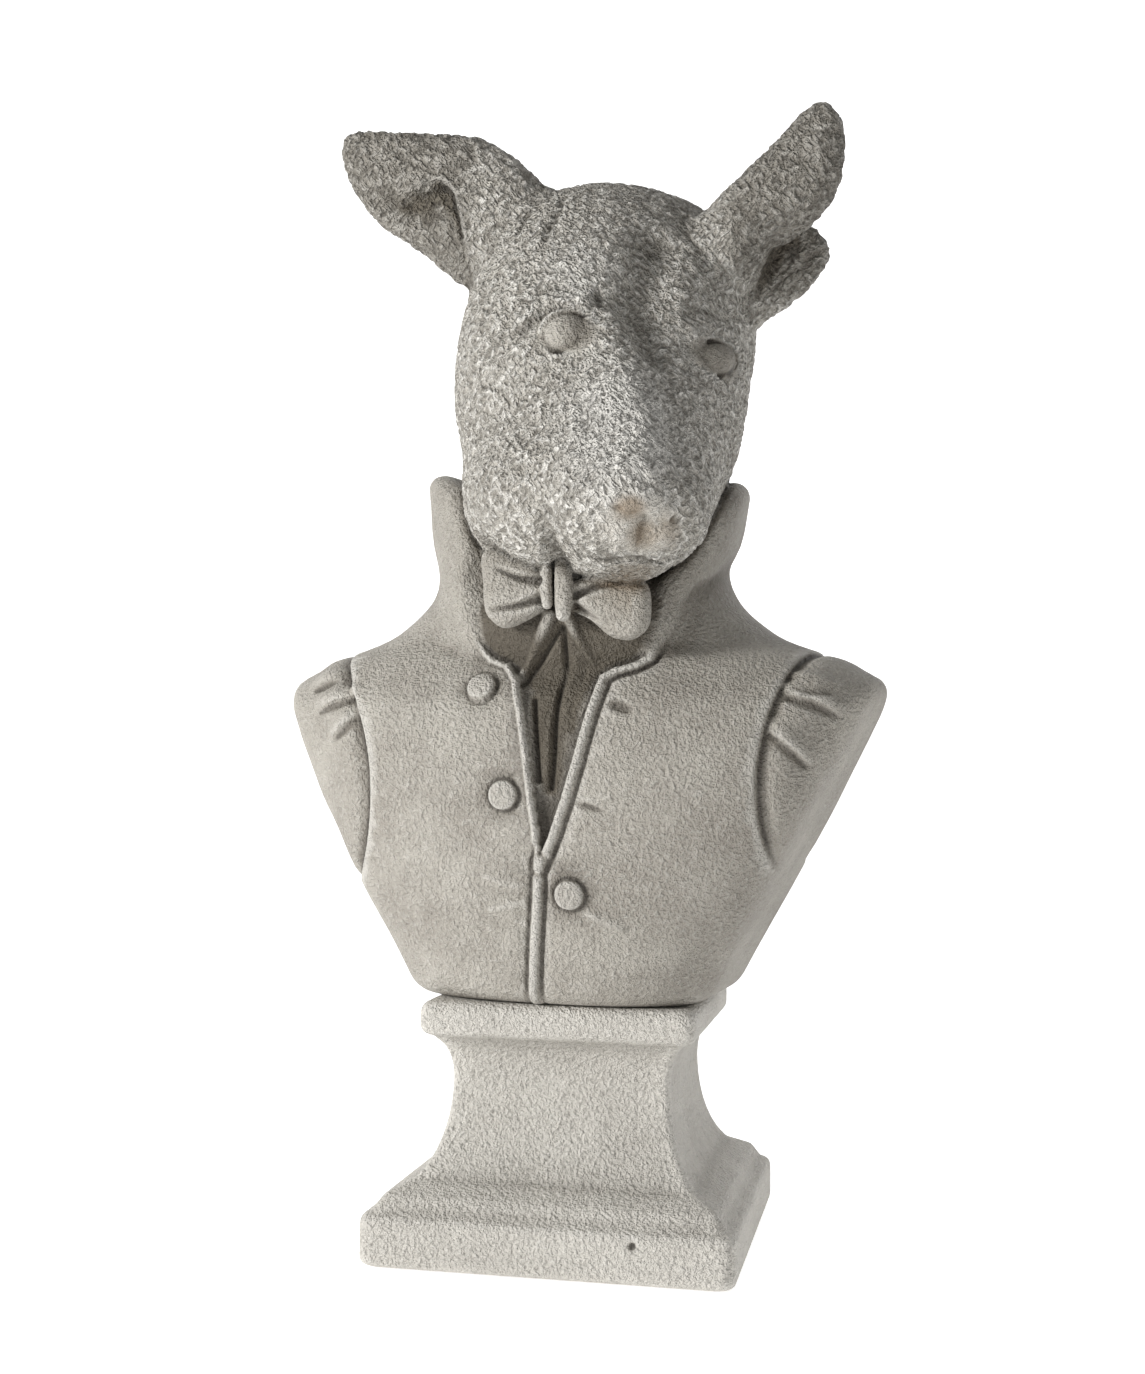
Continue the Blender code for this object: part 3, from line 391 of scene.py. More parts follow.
# Torso: height, half width before the arms are cut off, depth in front of the middle and behind it
TORSO = (
    (112, 79, 63, 49),
    (131, 88, 70, 55),
    (160, 104, 77, 62),
    (185, 122, 82, 66),
    (210, 138, 85, 69),
    (230, 152, 87, 71),
    (250, 160, 87, 72),
    (270, 168, 84, 70),
    (285, 171, 79, 67),
    (295, 165, 72, 62),
    (303, 150, 66, 58),
    (309, 128, 61, 56),
    (315, 111, 59, 54),
    (325, 95, 57, 53),
    (335, 84, 56, 52),
    (345, 77, 55, 52),
    (366, 72, 52, 50),
)
TORSO_SQUARENESS = 2.5


def add_torso(clay):
    table = np.array(TORSO, float)
    x, y = superellipse(96, TORSO_SQUARENESS)
    rings = []
    for z in np.arange(table[0, 0], table[-1, 0] + 1, 3.0):
        half, front, back = through(table[:, 0], table[:, 1:], np.array((z,)))[0]
        depth = np.where(y < 0, front, back)
        rings.append(np.stack([x * half, y * depth, np.full(len(x), z)], axis=1))
    clay.add_skin(*close_rings(rings))

# %% Armholes, sleeves and the cuts through the arms
ARM_CUT_AT_SEAT = 79.0
ARM_CUT_SLOPE = 0.525
ARM_CUT_EDGE = 8.0
SEAT_EDGE = 10.0

# Armholes and what is left of the sleeves
ARMHOLE_LEVEL = 239.0
ARMHOLE_LEFT = (91.5, 0.0060)
ARMHOLE_RIGHT = (110.0, 0.0036)
WAISTCOAT_THICKNESS = 3.5
SLEEVE_PUFF = 3.0
CREASE_RADIUS = 2.5
FOLD_RADIUS = 3.4
FOLD_SINK = 1.6
FOLD_AWAY = 4.6
FOLD_SHAPE = np.array((0.45, 0.85, 1.0, 0.85, 0.45))
SLEEVE_CREASES = (
    ((-129, 278), (-117, 282), (-106, 284.5)),
    ((-116, 264), (-109, 269), (-102.5, 274)),
    ((-137, 290), (-121, 295)),
    ((123, 286), (135, 283), (147, 277)),
    ((117, 267), (125, 260), (133, 252)),
    ((127, 292), (143, 289)),
)
CLAY_LOW = (-166, -178, 122)
CLAY_HIGH = (178, 122, 622)


def seam_gap(x, z):
    """How far a place lies outside the armhole's seam, on either side."""
    rise = (z - ARMHOLE_LEVEL) ** 2
    left = -x - ARMHOLE_LEFT[0] - ARMHOLE_LEFT[1] * rise
    right = x - ARMHOLE_RIGHT[0] - ARMHOLE_RIGHT[1] * rise
    return np.maximum(left, right)


def add_sleeves(clay):
    """Lifts the waistcoat clear of the sleeves, and puffs and gathers the sleeves at the seam."""

    def height(x, y, z):
        gap = seam_gap(x, z)
        waistcoat = WAISTCOAT_THICKNESS * (1 - step_between(gap, -0.9, 0.9))
        puff = SLEEVE_PUFF * step_between(gap, 1, 9) * (1 - step_between(gap, 12, 34))
        return waistcoat + puff

    clay.relief(CLAY_LOW, CLAY_HIGH, height)
    for crease in SLEEVE_CREASES:
        above = np.array(crease) + (0, FOLD_AWAY)
        clay.add(strand(clay.on_front(above, 5, lift=-FOLD_SINK), FOLD_SHAPE * FOLD_RADIUS), 6)
        clay.cut(strand(clay.on_front(crease, 5), FOLD_SHAPE * CREASE_RADIUS), 2)


def cut_arms_and_seat(clay):
    """Takes the arms off along slanting planes and the bottom along the seat."""
    shrink = math.hypot(1, ARM_CUT_SLOPE)

    def beyond_arms(x, y, z):
        return (np.abs(x) - ARM_CUT_AT_SEAT - ARM_CUT_SLOPE * (z - CLAY_SEAT)) / shrink

    clay.keep_below(beyond_arms, ARM_CUT_EDGE)
    clay.keep_below(lambda x, y, z: CLAY_SEAT - z, SEAT_EDGE)

# %% Waistcoat front: opening, piping, buttons and buttonholes
# Places are (x, z) on the chest
OPENING_LEFT = ((-44, 330), (-39, 316), (-34, 310), (-29, 306), (-20, 303), (-13, 295), (-7.5, 279),
                (-3, 259), (0, 239), (2.9, 219), (4.1, 204))
OPENING_RIGHT = ((64, 330), (57.5, 316), (54, 307), (48, 303.5), (39, 301), (32.4, 297), (30.5, 287),
                 (27, 272), (23, 254), (17.5, 235), (11, 217), (4.3, 202))
PLACKET = ((4.1, 204), (2.8, 184), (0, 159), (-2.5, 130))
OPENING_DEPTH = 3.8
PIPING_HEIGHT = 2.6
LEFT_PIPING_WIDTH = 4.9
RIGHT_PIPING_WIDTH = 6.5
PLACKET_WIDTH = 5.2
GROOVE_DEPTH = 1.6
GROOVE_WIDTH = 2.6
PLACKET_GROOVE_AWAY = 4.0
RIGHT_GROOVE_AWAY = 5.0
BUTTONS = ((-30.6, 290.6), (-14.1, 236.5), (19.6, 187.6))
BUTTON_RADIUS = 7.4
BUTTON_HEIGHT = 3.2

# Buttonholes: their two ends, half their height and their depth
BUTTONHOLES = (((39.5, 283.5), (49, 280), 4.2, 2.2), ((25, 232.8), (37, 229.5), 2.2, 1.4))
PULLS = (((-24, 195.5), (-7, 191)), ((-22, 179), (-6, 183)), ((29, 178), (44, 172)))
PULL_SINK = 0.6
PULL_RADIUS = 2.4


def ridge(gap, width):
    """A rounded bead's height, 1 in its middle and 0 from half its width on."""
    return np.sqrt(np.clip(1 - (2 * gap / width) ** 2, 0, 1))


def add_waistcoat_front(clay):
    """Opens the waistcoat at the throat and lays the piping along its edges."""
    left = np.array(OPENING_LEFT, float)
    right = np.array(OPENING_RIGHT, float)
    placket = smooth_path(PLACKET, 9)

    def height(x, y, z):
        low_z = np.clip(z, left[-1, 1], left[0, 1])
        left_x = np.interp(low_z, left[::-1, 1], left[::-1, 0])
        right_x = np.interp(low_z, right[::-1, 1], right[::-1, 0])
        open_by = np.minimum(np.minimum(x - left_x, right_x - x), z - right[-1, 1])
        gap_left, _ = distance_to_path(left, x, z)
        gap_right, _ = distance_to_path(right, x, z)
        gap_down, _ = distance_to_path(placket, x, z)
        piping = np.maximum(ridge(gap_left, LEFT_PIPING_WIDTH), ridge(gap_right, RIGHT_PIPING_WIDTH))
        raised = PIPING_HEIGHT * np.maximum(piping, ridge(gap_down, PLACKET_WIDTH))
        groove = GROOVE_DEPTH * np.maximum(ridge(gap_down - PLACKET_GROOVE_AWAY, GROOVE_WIDTH),
                                           ridge(gap_right - RIGHT_GROOVE_AWAY, GROOVE_WIDTH))
        opened = OPENING_DEPTH * step_between(open_by, 0, 3.0)
        lifted = np.where(open_by < 1.5, raised - groove, 0)
        return (lifted - opened) * step_between(-y, 15, 30)

    clay.relief((-60, -120, 125), (75, -10, 330), height)
    for x, z in BUTTONS:
        place = clay.hit((x, -170, z), (0, 1, 0))
        clay.add(disc(place, clay.normal(place), BUTTON_RADIUS, BUTTON_HEIGHT), 0.2)
    for start, end, half_height, depth in BUTTONHOLES:
        path = clay.on_front((start, end), 5, lift=half_height - depth)
        clay.cut(strand(path, half_height * np.array((0.7, 0.95, 1.0, 0.95, 0.7))), 0.6)
    for pull in PULLS:
        clay.add(strand(clay.on_front(pull, 5, lift=-PULL_SINK), FOLD_SHAPE * PULL_RADIUS), 4)

# %% [markdown]
# ## Shirt, bow tie and collar
#
# The bow is two cushions with creases pressed into them and two lobes for the knot. The collar is a
# thick sheet bent round the neck, given by four lines: its foot, where it bends, where it flares, its top.

# %% Shirt and bow tie
# Outlines and folds are (x, z), from the front
NECKCLOTH = ((10, -47, 322), (56, 31, 30))
TAILS = (((5, 327), (2, 320), (-2, 313), (-7, 305.5), (-12.5, 297)),
         ((15, 327), (18, 319), (22, 311), (25.5, 304)))
TAIL_RADII = (4.0, 3.4)
TAIL_END = 0.35
PLEATS = (((12.5, 320), (12.6, 309), (11.6, 298), (10.5, 287), (10.5, 271), (11, 256), (10, 240)),
          ((11.5, 321), (4, 311), (-4, 301), (-10, 292)), ((-2, 284), (1, 262), (3, 244)))
PLEAT_RADIUS = 1.7
FOLDS = (((18, 309), (16.8, 297), (15.4, 285), (15, 271)), ((6.5, 276), (7, 262), (6.5, 246)),
         ((25, 298), (21, 272)))
SHIRT_FOLD_RADIUS = 3.0
SHIRT_FOLD_SINK = 1.4
BOW_LEFT = ((-30, 361), (-20, 362), (-6, 357), (4, 350), (6, 340), (4, 331), (-6, 324), (-18, 320.5),
            (-27, 327), (-30, 343))
BOW_RIGHT = ((15, 342), (28, 348), (42, 348), (56, 343), (59, 331), (57, 319), (50, 314), (40, 315),
             (28, 324), (15, 332))
BOW_DEPTH = -80.0
BOW_THICKNESS = 7.0
BOW_CREASES = (((3, 344), (-9, 345.5), (-20, 350)), ((3, 335), (-10, 331.5), (-23, 330)),
               ((20, 336.5), (32, 340.5), (44, 342.5)), ((20, 331), (31, 325)))
BOW_CREASE_RADII = (3.0, 1.3)
KNOT = (((6.2, 355), (5.6, 343), (6.6, 332)), ((14.4, 355), (15.2, 341), (15.0, 327)))
KNOT_RADII = (3.3, 4.7)
KNOT_FORWARD = 6.5
KNOT_SHAPE = (0.75, 0.92, 1.0, 1.0, 0.95, 0.8)


def add_shirt_and_bow(clay):
    place, radii = NECKCLOTH
    clay.add(ball(place, radii), 8)
    for fold in FOLDS:
        path = clay.on_front(fold, 5, lift=-SHIRT_FOLD_SINK)
        clay.add(strand(path, FOLD_SHAPE * SHIRT_FOLD_RADIUS), 3)
    for tail, radius in zip(TAILS, TAIL_RADII):
        clay.add(strand(clay.on_front(tail, 8), np.linspace(radius, radius * TAIL_END, 8)), 1.5)
    for pleat in PLEATS:
        clay.cut(strand(clay.on_front(pleat, 9), PLEAT_RADIUS), 1.5)
    for outline in (BOW_LEFT, BOW_RIGHT):
        clay.add(pad(smooth_outline(outline), BOW_DEPTH, BOW_THICKNESS, 9.0, lean=0.1), 2.0)
    for crease in BOW_CREASES:
        clay.cut(strand(clay.on_front(crease, 8), np.linspace(*BOW_CREASE_RADII, 8)), 1.8)
    for lobe, radius in zip(KNOT, KNOT_RADII):
        path = [(x, BOW_DEPTH - KNOT_FORWARD, z) for x, z in smooth_path(lobe, 6)]
        clay.add(strand(path, radius * np.array(KNOT_SHAPE)), 0.6)

# %% Collar
# Its foot, bend, flare and top: places from the left front edge round the nape to the right one
COLLAR_FOOT = ((-41, -58, 312), (-58, -47, 318), (-70, -26, 322), (-75, 0, 326), (-68, 34, 334),
               (-44, 52, 340), (0, 58, 342), (46, 52, 340), (70, 34, 334), (77, 2, 324), (74, -26, 318),
               (64, -46, 314), (50, -58, 310))
COLLAR_BEND = ((-50, -50, 346), (-60, -40, 348), (-68, -22, 349), (-71, 0, 350), (-63, 34, 355),
               (-42, 50, 358), (0, 55, 360), (42, 50, 359), (62, 34, 357), (68, 4, 354), (69, -22, 348),
               (66, -38, 344), (60, -51, 340))
COLLAR_FLARE = ((-51, -46, 368), (-63, -36, 373), (-75, -18, 376), (-80, 2, 376), (-71, 38, 378),
                (-45, 54, 380), (0, 61, 382), (45, 55, 381), (69, 38, 379), (76, 8, 375), (77, -16, 368),
                (75, -32, 361), (70, -44, 355))
COLLAR_TOP = ((-63, -33, 394), (-74, -21, 401), (-82, -7, 405), (-85, 8, 407), (-76, 40, 406),
              (-47, 58, 404), (0, 66, 403), (46, 59, 401), (72, 40, 399), (80, 12, 398), (82, -8, 393),
              (81, -22, 384), (77, -34, 373))
COLLAR_RADIUS = 7.5


def add_collar(clay):
    foot = smooth_path(COLLAR_FOOT, 61)
    bend = smooth_path(COLLAR_BEND, 61)
    flare = smooth_path(COLLAR_FLARE, 61)
    top = smooth_path(COLLAR_TOP, 61)
    levels = np.linspace(0, 1, 13)
    rows = []
    for column in zip(foot, bend, flare, top):
        rows.append(through((0, 0.36, 0.7, 1), np.array(column), levels))
    clay.add_skin(*sheet(rows), swell=COLLAR_RADIUS, blend=5.0)

# %% [markdown]
# ## Head
#
# The head is turned and tilted, so it has a frame of its own. Rings run over it from a point on top to
# one underneath, as a modeller would check it with a wire. The eyes, the furrow, the nose and the mouth
# are laid on the face along the head's own axis.

# %% The head's frame
# It looks along -y, turned and tilted about a place inside the skull
HEAD_PLACE = (7.0, 12.0, 466.0)
HEAD_TURN = math.radians(27.5)
HEAD_TILT = math.radians(8.6)


def turn_matrix(turn, tilt):
    """Rotation of a head that turns to the viewer's right and tilts clockwise."""
    c = math.cos(turn)
    s = math.sin(turn)
    yaw = np.array(((c, -s, 0), (s, c, 0), (0, 0, 1)))
    c = math.cos(tilt)
    s = math.sin(tilt)
    roll = np.array(((c, 0, s), (0, 1, 0), (-s, 0, c)))
    return yaw @ roll


HEAD = turn_matrix(HEAD_TURN, HEAD_TILT)


def from_head(points):
    """Places given in the head's frame, in the bust's."""
    return np.asarray(points, float) @ HEAD.T + np.array(HEAD_PLACE)


def in_head(points):
    """Places given in the bust's frame, in the head's."""
    return (points - np.array(HEAD_PLACE)) @ HEAD


def oval_gap(face, x, z, half_width, half_height):
    """How far places lie from an oval's middle on the face, as a share of its size."""
    return np.hypot((face[:, 0] - x) / half_width, (face[:, 2] - z) / half_height)


def facing(normal, up):
    """A rotation whose second axis points into a surface and whose third points up along it."""
    side = np.cross(-normal, up)
    side /= np.linalg.norm(side)
    return np.stack([side, -normal, np.cross(side, -normal)], axis=1)

# %% Skull and neck
# Each ring crosses the head from a point on top of it (y, z) to one underneath, with its half width and
# the x of its middle
HEAD_RINGS = (
    ((-171, -90), (-160, -112), 18, 0),
    ((-167, -80), (-150, -119), 31, 0),
    ((-155, -66), (-130, -122), 38, 0),
    ((-138, -46), (-100, -122), 43.5, 0),
    ((-122, -27), (-68, -119), 51, 0),
    ((-108, -9), (-38, -110), 61, -2),
    ((-97, 8), (-8, -98), 71.5, -4),
    ((-87, 28), (18, -84), 77.5, -5),
    ((-76, 50), (42, -66), 80.5, -4.5),
    ((-60, 72), (60, -45), 82.5, -2.5),
    ((-40, 93), (72, -20), 81, -0.5),
    ((-15, 107), (80, 8), 77, 3),
    ((12, 112), (80, 40), 69, 6),
    ((38, 107), (72, 66), 56, 7),
    ((56, 96), (64, 80), 30, 6),
)
NECK = (((6, 2, 316), 44), ((6, 12, 352), 47), ((8, 12, 400), 55))


def add_neck(clay):
    places = [place for place, _ in NECK]
    radii = [radius for _, radius in NECK]
    clay.add(strand(smooth_path(places, 5), np.interp(range(5), (0, 2, 4), radii)), 4)


def head_skin():
    rings = []
    table = np.array([(*top, *under, half, middle) for top, under, half, middle in HEAD_RINGS])
    x, up = superellipse(64, 2.15)
    for row in through(np.arange(len(table)), table, np.linspace(0, len(table) - 1, 57)):
        top = np.array((0, row[0], row[1]))
        under = np.array((0, row[2], row[3]))
        middle = (top + under) / 2
        arm = (top - under) / 2
        ring = middle + up[:, None] * arm + np.stack([x * row[4] + row[5], 0 * x, 0 * x], axis=1)
        rings.append(from_head(ring))
    return close_rings(rings)

# %% Face
# Places on the face are (x, z) as seen along the head's own axis
# Eyes: place, half width, half height, and how far the end at the viewer's right is turned up
EYES = ((-39.5, -3.8, 13.0, 11.5, -0.04), (40.5, 0.6, 15.4, 9.3, 0.45))
LID_FOLD = ((-60, -3), (-53.5, 4), (-46, 8.6), (-38, 10.4), (-30, 7.5))
LID_FOLD_RADIUS = 2.6
EYE_DEPTH = 10.0
EYE_SINK = 4.2
EYE_GROOVE = 1.4
EYE_GAP = 0.4
LID_MARGIN = 1.4
LID_LIFT = 2.6
LID_UPPER = 2.0
LID_LOWER = 0.8
THROAT = (((2, -45, 392), (54, 54, 46)), ((9, -84, 388), (38, 37, 30)), ((14, -88, 375), (24, 24, 18)))
JAW = ((2, -110, -114), (24, 36, 10.5))
MOUTH = ((-41.5, -98), (-37, -103), (-33, -109), (-29, -113), (-20, -118.5), (-10, -120.5), (-1, -119),
         (4, -117.8), (12, -118.3), (23, -114), (32, -109), (42, -96))
LIP_STEP = 2.4
LIP_REACH = 5.5
LIP_LINE_RADII = (1.1, 1.7, 1.7, 0.9)
NOSE_RIDGE = ((-12, -96), (0, -94.5), (11, -96))
NOSE_BUMPS = ((-7.5, -107.5), (12, -106))
NOSTRILS = ((-12.5, -100.5), (16, -99.5))
NOSE_RADIUS = 5.3
NOSE_SINK = 3.2
NOSE_BUMP_RADII = (5.2, 5.2, 5.2)
NOSTRIL_RADII = (3.0, 2.2, 2.4)
PHILTRUM_RADIUS = 0.9
BRIDGE = ((-20, -4), (-12, -24), (-6, -44), (-3, -66), (-4, -86))
BRIDGE_RADIUS = 11.0
BRIDGE_LIFT = 2.4
PHILTRUM = ((1, -101), (1.5, -109), (2.5, -117.5))
BROWS = (((-57, 3), (-51, 10.5), (-41, 14), (-30, 12.5)), ((24, 7), (30, 14), (41, 17.5), (53, 14)))
FOREHEAD_VALLEY = ((0, -2), (-3, 14), (-1, 36), (3, 62))
VALLEY_RADIUS = 16.0
VALLEY_END_RADIUS = 12.0
VALLEY_DEPTH = 5.5
BROW_RADIUS = 4.0
BROW_SINK = 2.2
FURROW_RADIUS = 2.4
WRINKLE_RADIUS = 2.2
FURROW = ((-25.5, 25), (-24.5, 19), (-24, 13), (-24.5, 6))
EAR_WRINKLES = (((-44, 86), (-50, 67), (-56, 47)), ((-57, 91), (-61, 77), (-66, 62)),
                ((50, 88), (58, 72)))


def add_eye(clay, x, z, half_width, half_height, tilt):
    """A bulging blank eyeball, a groove round it, a thick upper lid and a thin inner corner."""
    place = clay.on_face([(x, z)])[0]
    normal = clay.normal(place)
    outward = normal - HEAD[:, 1]
    outward = outward / np.linalg.norm(outward)
    turn = facing(outward, HEAD @ (-math.sin(tilt), 0, math.cos(tilt)))
    centre = place - normal * EYE_SINK

    def loop(margin, depth):
        angles = np.linspace(0, 2 * math.pi, 33)
        return [centre + turn @ ((half_width + margin) * math.cos(angle), -depth,
                                 (half_height + margin) * math.sin(angle)) for angle in angles]

    lid = loop(LID_MARGIN, LID_LIFT)
    swelling = np.sin(np.linspace(0, math.pi, 17))
    clay.add(strand(lid[:17], LID_LOWER + (LID_UPPER - LID_LOWER) * swelling), 5)
    clay.add(strand(lid[28:], LID_LOWER), 4)
    clay.cut(strand(loop(0, EYE_SINK), EYE_GROOVE), 0.6)
    clay.add(ball(centre, (half_width - EYE_GAP, EYE_DEPTH, half_height - EYE_GAP), turn), 0.3)


def add_muzzle(clay):
    """The nose's leather with its nostrils, and the mouth with the upper lip standing over the jaw."""
    clay.add(strand(clay.on_face(NOSE_RIDGE, 5, lift=-NOSE_SINK), NOSE_RADIUS), 4)
    for bump in NOSE_BUMPS:
        clay.add(ball(clay.on_face([bump], lift=-NOSE_SINK)[0], NOSE_BUMP_RADII), 5)
    for nostril in NOSTRILS:
        clay.cut(ball(clay.on_face([nostril])[0], NOSTRIL_RADII), 2)
    clay.cut(strand(clay.on_face(PHILTRUM, 5), PHILTRUM_RADIUS), 2.5)
    below = np.array(MOUTH) * (1.04, 1.0) - (0, 5)
    radii = np.interp(np.linspace(0, 1, 12), (0, 0.6), (LIP_REACH - LIP_STEP, LIP_REACH))
    clay.cut(strand(clay.on_face(below[:5], 12, lift=LIP_REACH - LIP_STEP), radii), 3)
    radii = np.interp(np.linspace(0, 1, 31), (0, 0.2, 0.6, 1), LIP_LINE_RADII)
    clay.cut(strand(clay.on_face(MOUTH, 31), radii), 1.5)


def add_head(clay):
    clay.add_skin(*head_skin(), blend=10.0)
    for lump in THROAT:
        clay.add(ball(*lump), 18)
    clay.add(ball(from_head(JAW[0]), JAW[1], HEAD), 3)
    for brow in BROWS:
        clay.add(strand(clay.on_face(brow, 9, lift=-BROW_SINK), BROW_RADIUS), 7)
    valley = clay.on_face(FOREHEAD_VALLEY, 7, lift=VALLEY_RADIUS - VALLEY_DEPTH)
    radii = np.interp(range(7), (0, 2), (VALLEY_END_RADIUS, VALLEY_RADIUS))
    clay.cut(strand(valley, radii), 10)
    clay.cut(strand(clay.on_face(FURROW, 5), FOLD_SHAPE * FURROW_RADIUS), 2.5)
    for wrinkle in EAR_WRINKLES:
        clay.cut(strand(clay.on_face(wrinkle, 5), FOLD_SHAPE * WRINKLE_RADIUS), 3)
    clay.add(strand(clay.on_face(BRIDGE, 7, lift=BRIDGE_LIFT - BRIDGE_RADIUS), BRIDGE_RADIUS), 14)
    for eye in EYES:
        add_eye(clay, *eye)
    clay.cut(strand(clay.on_face(LID_FOLD, 9), LID_FOLD_RADIUS * np.linspace(1, 0.3, 9)), 2)
    add_muzzle(clay)

# %% Ears
# Cross-sections from the root to the tip, each from its upper edge (x, z) to its lower edge (x, z),
# with the depth of its middle and half its thickness
EAR_LEFT = (
    ((-8, 556), (-54, 503), -4, 24),
    ((-20, 568), (-64, 515), -6, 24),
    ((-36, 585), (-70, 519), -8, 23),
    ((-48, 594), (-77, 522), -9, 21),
    ((-63, 602), (-95, 537), -11, 18),
    ((-90, 606), (-114, 550), -13, 14),
    ((-112, 609), (-126, 562), -14, 11),
    ((-130, 611), (-136, 575), -15, 8),
    ((-139, 610), (-142, 590), -15, 6),
    ((-143, 607), (-144, 600), -15, 3),
)
EAR_LEFT_SCOOPS = (((-108, -55, 560), (46, 34, 26), -0.56),)

# The left ear's hollow lies left of its folded front edge and below its rolled upper band, both (x, z)
EAR_FOLD = ((-59, 520), (-61, 528), (-63, 540), (-66, 554), (-70.7, 568), (-75.5, 573), (-82, 575.5))
EAR_BAND = ((-135, 571), (-117, 573), (-105, 571.5), (-92, 574), (-80, 577), (-60, 580))
EAR_HOLLOW_DEPTH = 11.0
EAR_HOLLOW_REACH = (54.0, 60.0)
EAR_RIGHT = (
    ((60, 545), (84, 500), 0, 24),
    ((73, 557), (94, 513), -1, 24),
    ((89, 570), (103, 528), -3, 23),
    ((105, 584), (118, 534), -5, 20),
    ((113, 592), (131, 542), -6, 17),
    ((119, 598), (140, 557), -7, 14),
    ((126, 602), (142.5, 575), -8, 10),
    ((131, 602.5), (141, 592), -9, 6),
    ((134, 601), (138, 597), -9, 3),
)
EAR_RIGHT_BACK = (
    ((86, 525), (84, 490), 18, 9),
    ((96, 532), (94, 494), 19, 9),
    ((110, 542), (104, 500), 20, 9),
    ((120, 546), (115, 508), 20, 8),
    ((127, 539), (125, 518), 20, 6),
    ((130, 533), (129.5, 527), 20, 3),
)
EAR_RIGHT_SCOOPS = (((139, 4, 555), (30, 10, 32), 0.0),)


def ear_skin(sections):
    rings = []
    table = np.array([(*top, *under, depth, half) for top, under, depth, half in sections], float)
    along, out = superellipse(40, 2.2)
    for row in through(np.arange(len(table)), table, np.linspace(0, len(table) - 1, 4 * len(table))):
        x = (row[0] + row[2]) / 2 + along * (row[0] - row[2]) / 2
        z = (row[1] + row[3]) / 2 + along * (row[1] - row[3]) / 2
        rings.append(np.stack([x, row[4] + out * row[5], z], axis=1))
    return close_rings(rings)


def hollow_left_ear(clay):
    """Sinks the ear's inside behind its folded edge, deepest in the upper corner of the fold."""
    fold = np.array(EAR_FOLD, float)
    band = np.array(EAR_BAND, float)

    def height(x, y, z):
        left_by = np.interp(z, fold[:, 1], fold[:, 0]) - x
        below_by = np.interp(x, band[:, 0], band[:, 1]) - z
        edge = step_between(left_by, 0, 3.5) * step_between(below_by, 0, 8)
        fade = np.clip(1 - left_by / EAR_HOLLOW_REACH[0], 0, 1)
        fade = fade * np.clip(1 - below_by / EAR_HOLLOW_REACH[1], 0, 1)
        return -EAR_HOLLOW_DEPTH * edge * fade * step_between(-y, 6, 16)

    clay.relief((-140, -60, 516), (-52, -2, 582), height)


def add_ears(clay):
    for sections in (EAR_LEFT, EAR_RIGHT, EAR_RIGHT_BACK):
        clay.add_skin(*ear_skin(sections), blend=8.0)
    for place, radii, lean in EAR_LEFT_SCOOPS + EAR_RIGHT_SCOOPS:
        c = math.cos(lean)
        s = math.sin(lean)
        turn = np.array(((c, 0, -s), (0, 1, 0), (s, 0, c)))
        clay.cut(ball(place, radii, turn), 4)
    hollow_left_ear(clay)

# %% [markdown]
# ## The bust's skin
#
# Head and clothes are modelled apart and joined at the end with a very small blend, so the throat's edge
# against the collar and the bow stays crisp.

# %% Model the clay
FINE_STEP = 1.0


RING_AWAY = 1.2
RING_RADIUS = 0.9
DEEP_CREASE_RADII = (2.2, 0.3)
DEEP_CREASE_SINK = 0.6
DEEP_PLEAT_RADIUS = 1.0
DEEP_PLEAT_SINK = 0.2
DEEP_LIP_RADII = (0.8, 1.6, 1.6, 0.8)
DEEP_LIP_SINK = 0.9


def press_ring(clay, x, z):
    """The groove that a modelling tool leaves round a button."""
    angles = np.linspace(0, 2 * math.pi, 41)
    reach = BUTTON_RADIUS + RING_AWAY
    ring = np.stack([x + reach * np.cos(angles), z + reach * np.sin(angles)], axis=1)
    clay.cut(strand(clay.on_front(ring), RING_RADIUS), 0.5)


def deepen_folds(clothes, head):
    """Cuts the bow's creases, the shirt's pleats and the line of the lips deeper than in the part."""
    for crease in BOW_CREASES:
        path = clothes.on_front(crease, 14, lift=-DEEP_CREASE_SINK)
        clothes.cut(strand(path, np.linspace(*DEEP_CREASE_RADII, 14)), 1.2)
    for pleat in PLEATS:
        path = clothes.on_front(pleat, 14, lift=-DEEP_PLEAT_SINK)
        clothes.cut(strand(path, DEEP_PLEAT_RADIUS), 0.8)
    lips = head.on_face(MOUTH, 41, lift=-DEEP_LIP_SINK)
    radii = np.interp(np.linspace(0, 1, 41), (0, 0.2, 0.8, 1), DEEP_LIP_RADII)
    head.cut(strand(lips, radii), 0.6)


def model_clay():
    clothes = Clay(CLAY_LOW, CLAY_HIGH, FINE_STEP)
    add_torso(clothes)
    add_sleeves(clothes)
    add_waistcoat_front(clothes)
    for x, z in BUTTONS:
        press_ring(clothes, x, z)
    cut_arms_and_seat(clothes)
    add_shirt_and_bow(clothes)
    add_collar(clothes)
    head = Clay(CLAY_LOW, CLAY_HIGH, FINE_STEP)
    add_neck(head)
    add_head(head)
    add_ears(head)
    deepen_folds(clothes, head)
    clothes.field = smooth_min(clothes.field, head.field, 1.0)
    return clothes, head


bust_clay, head_clay = model_clay()
bust_points, bust_quads = bust_clay.skin()
print("clay skin:", len(bust_quads), "quads")

# %% [markdown]
# ## Tool marks
#
# All over the head the modeller pressed short crossing strokes for fur, with pits on the left cheek. They
# follow the surface, so Geometry Nodes press them: two sets of stretched noise, crossed, sink each point
# along its normal. Their strength comes from an attribute, so clothes and eyeballs stay plain.

# %% Which places carry fur, and which are pitted
PIT_CENTRE = (-52.0, -70.0)
PIT_REACH = 46.0

# The nose's leather: its middle, half its width and half its height
NOSE_LEATHER = (1, -104, 20, 13)


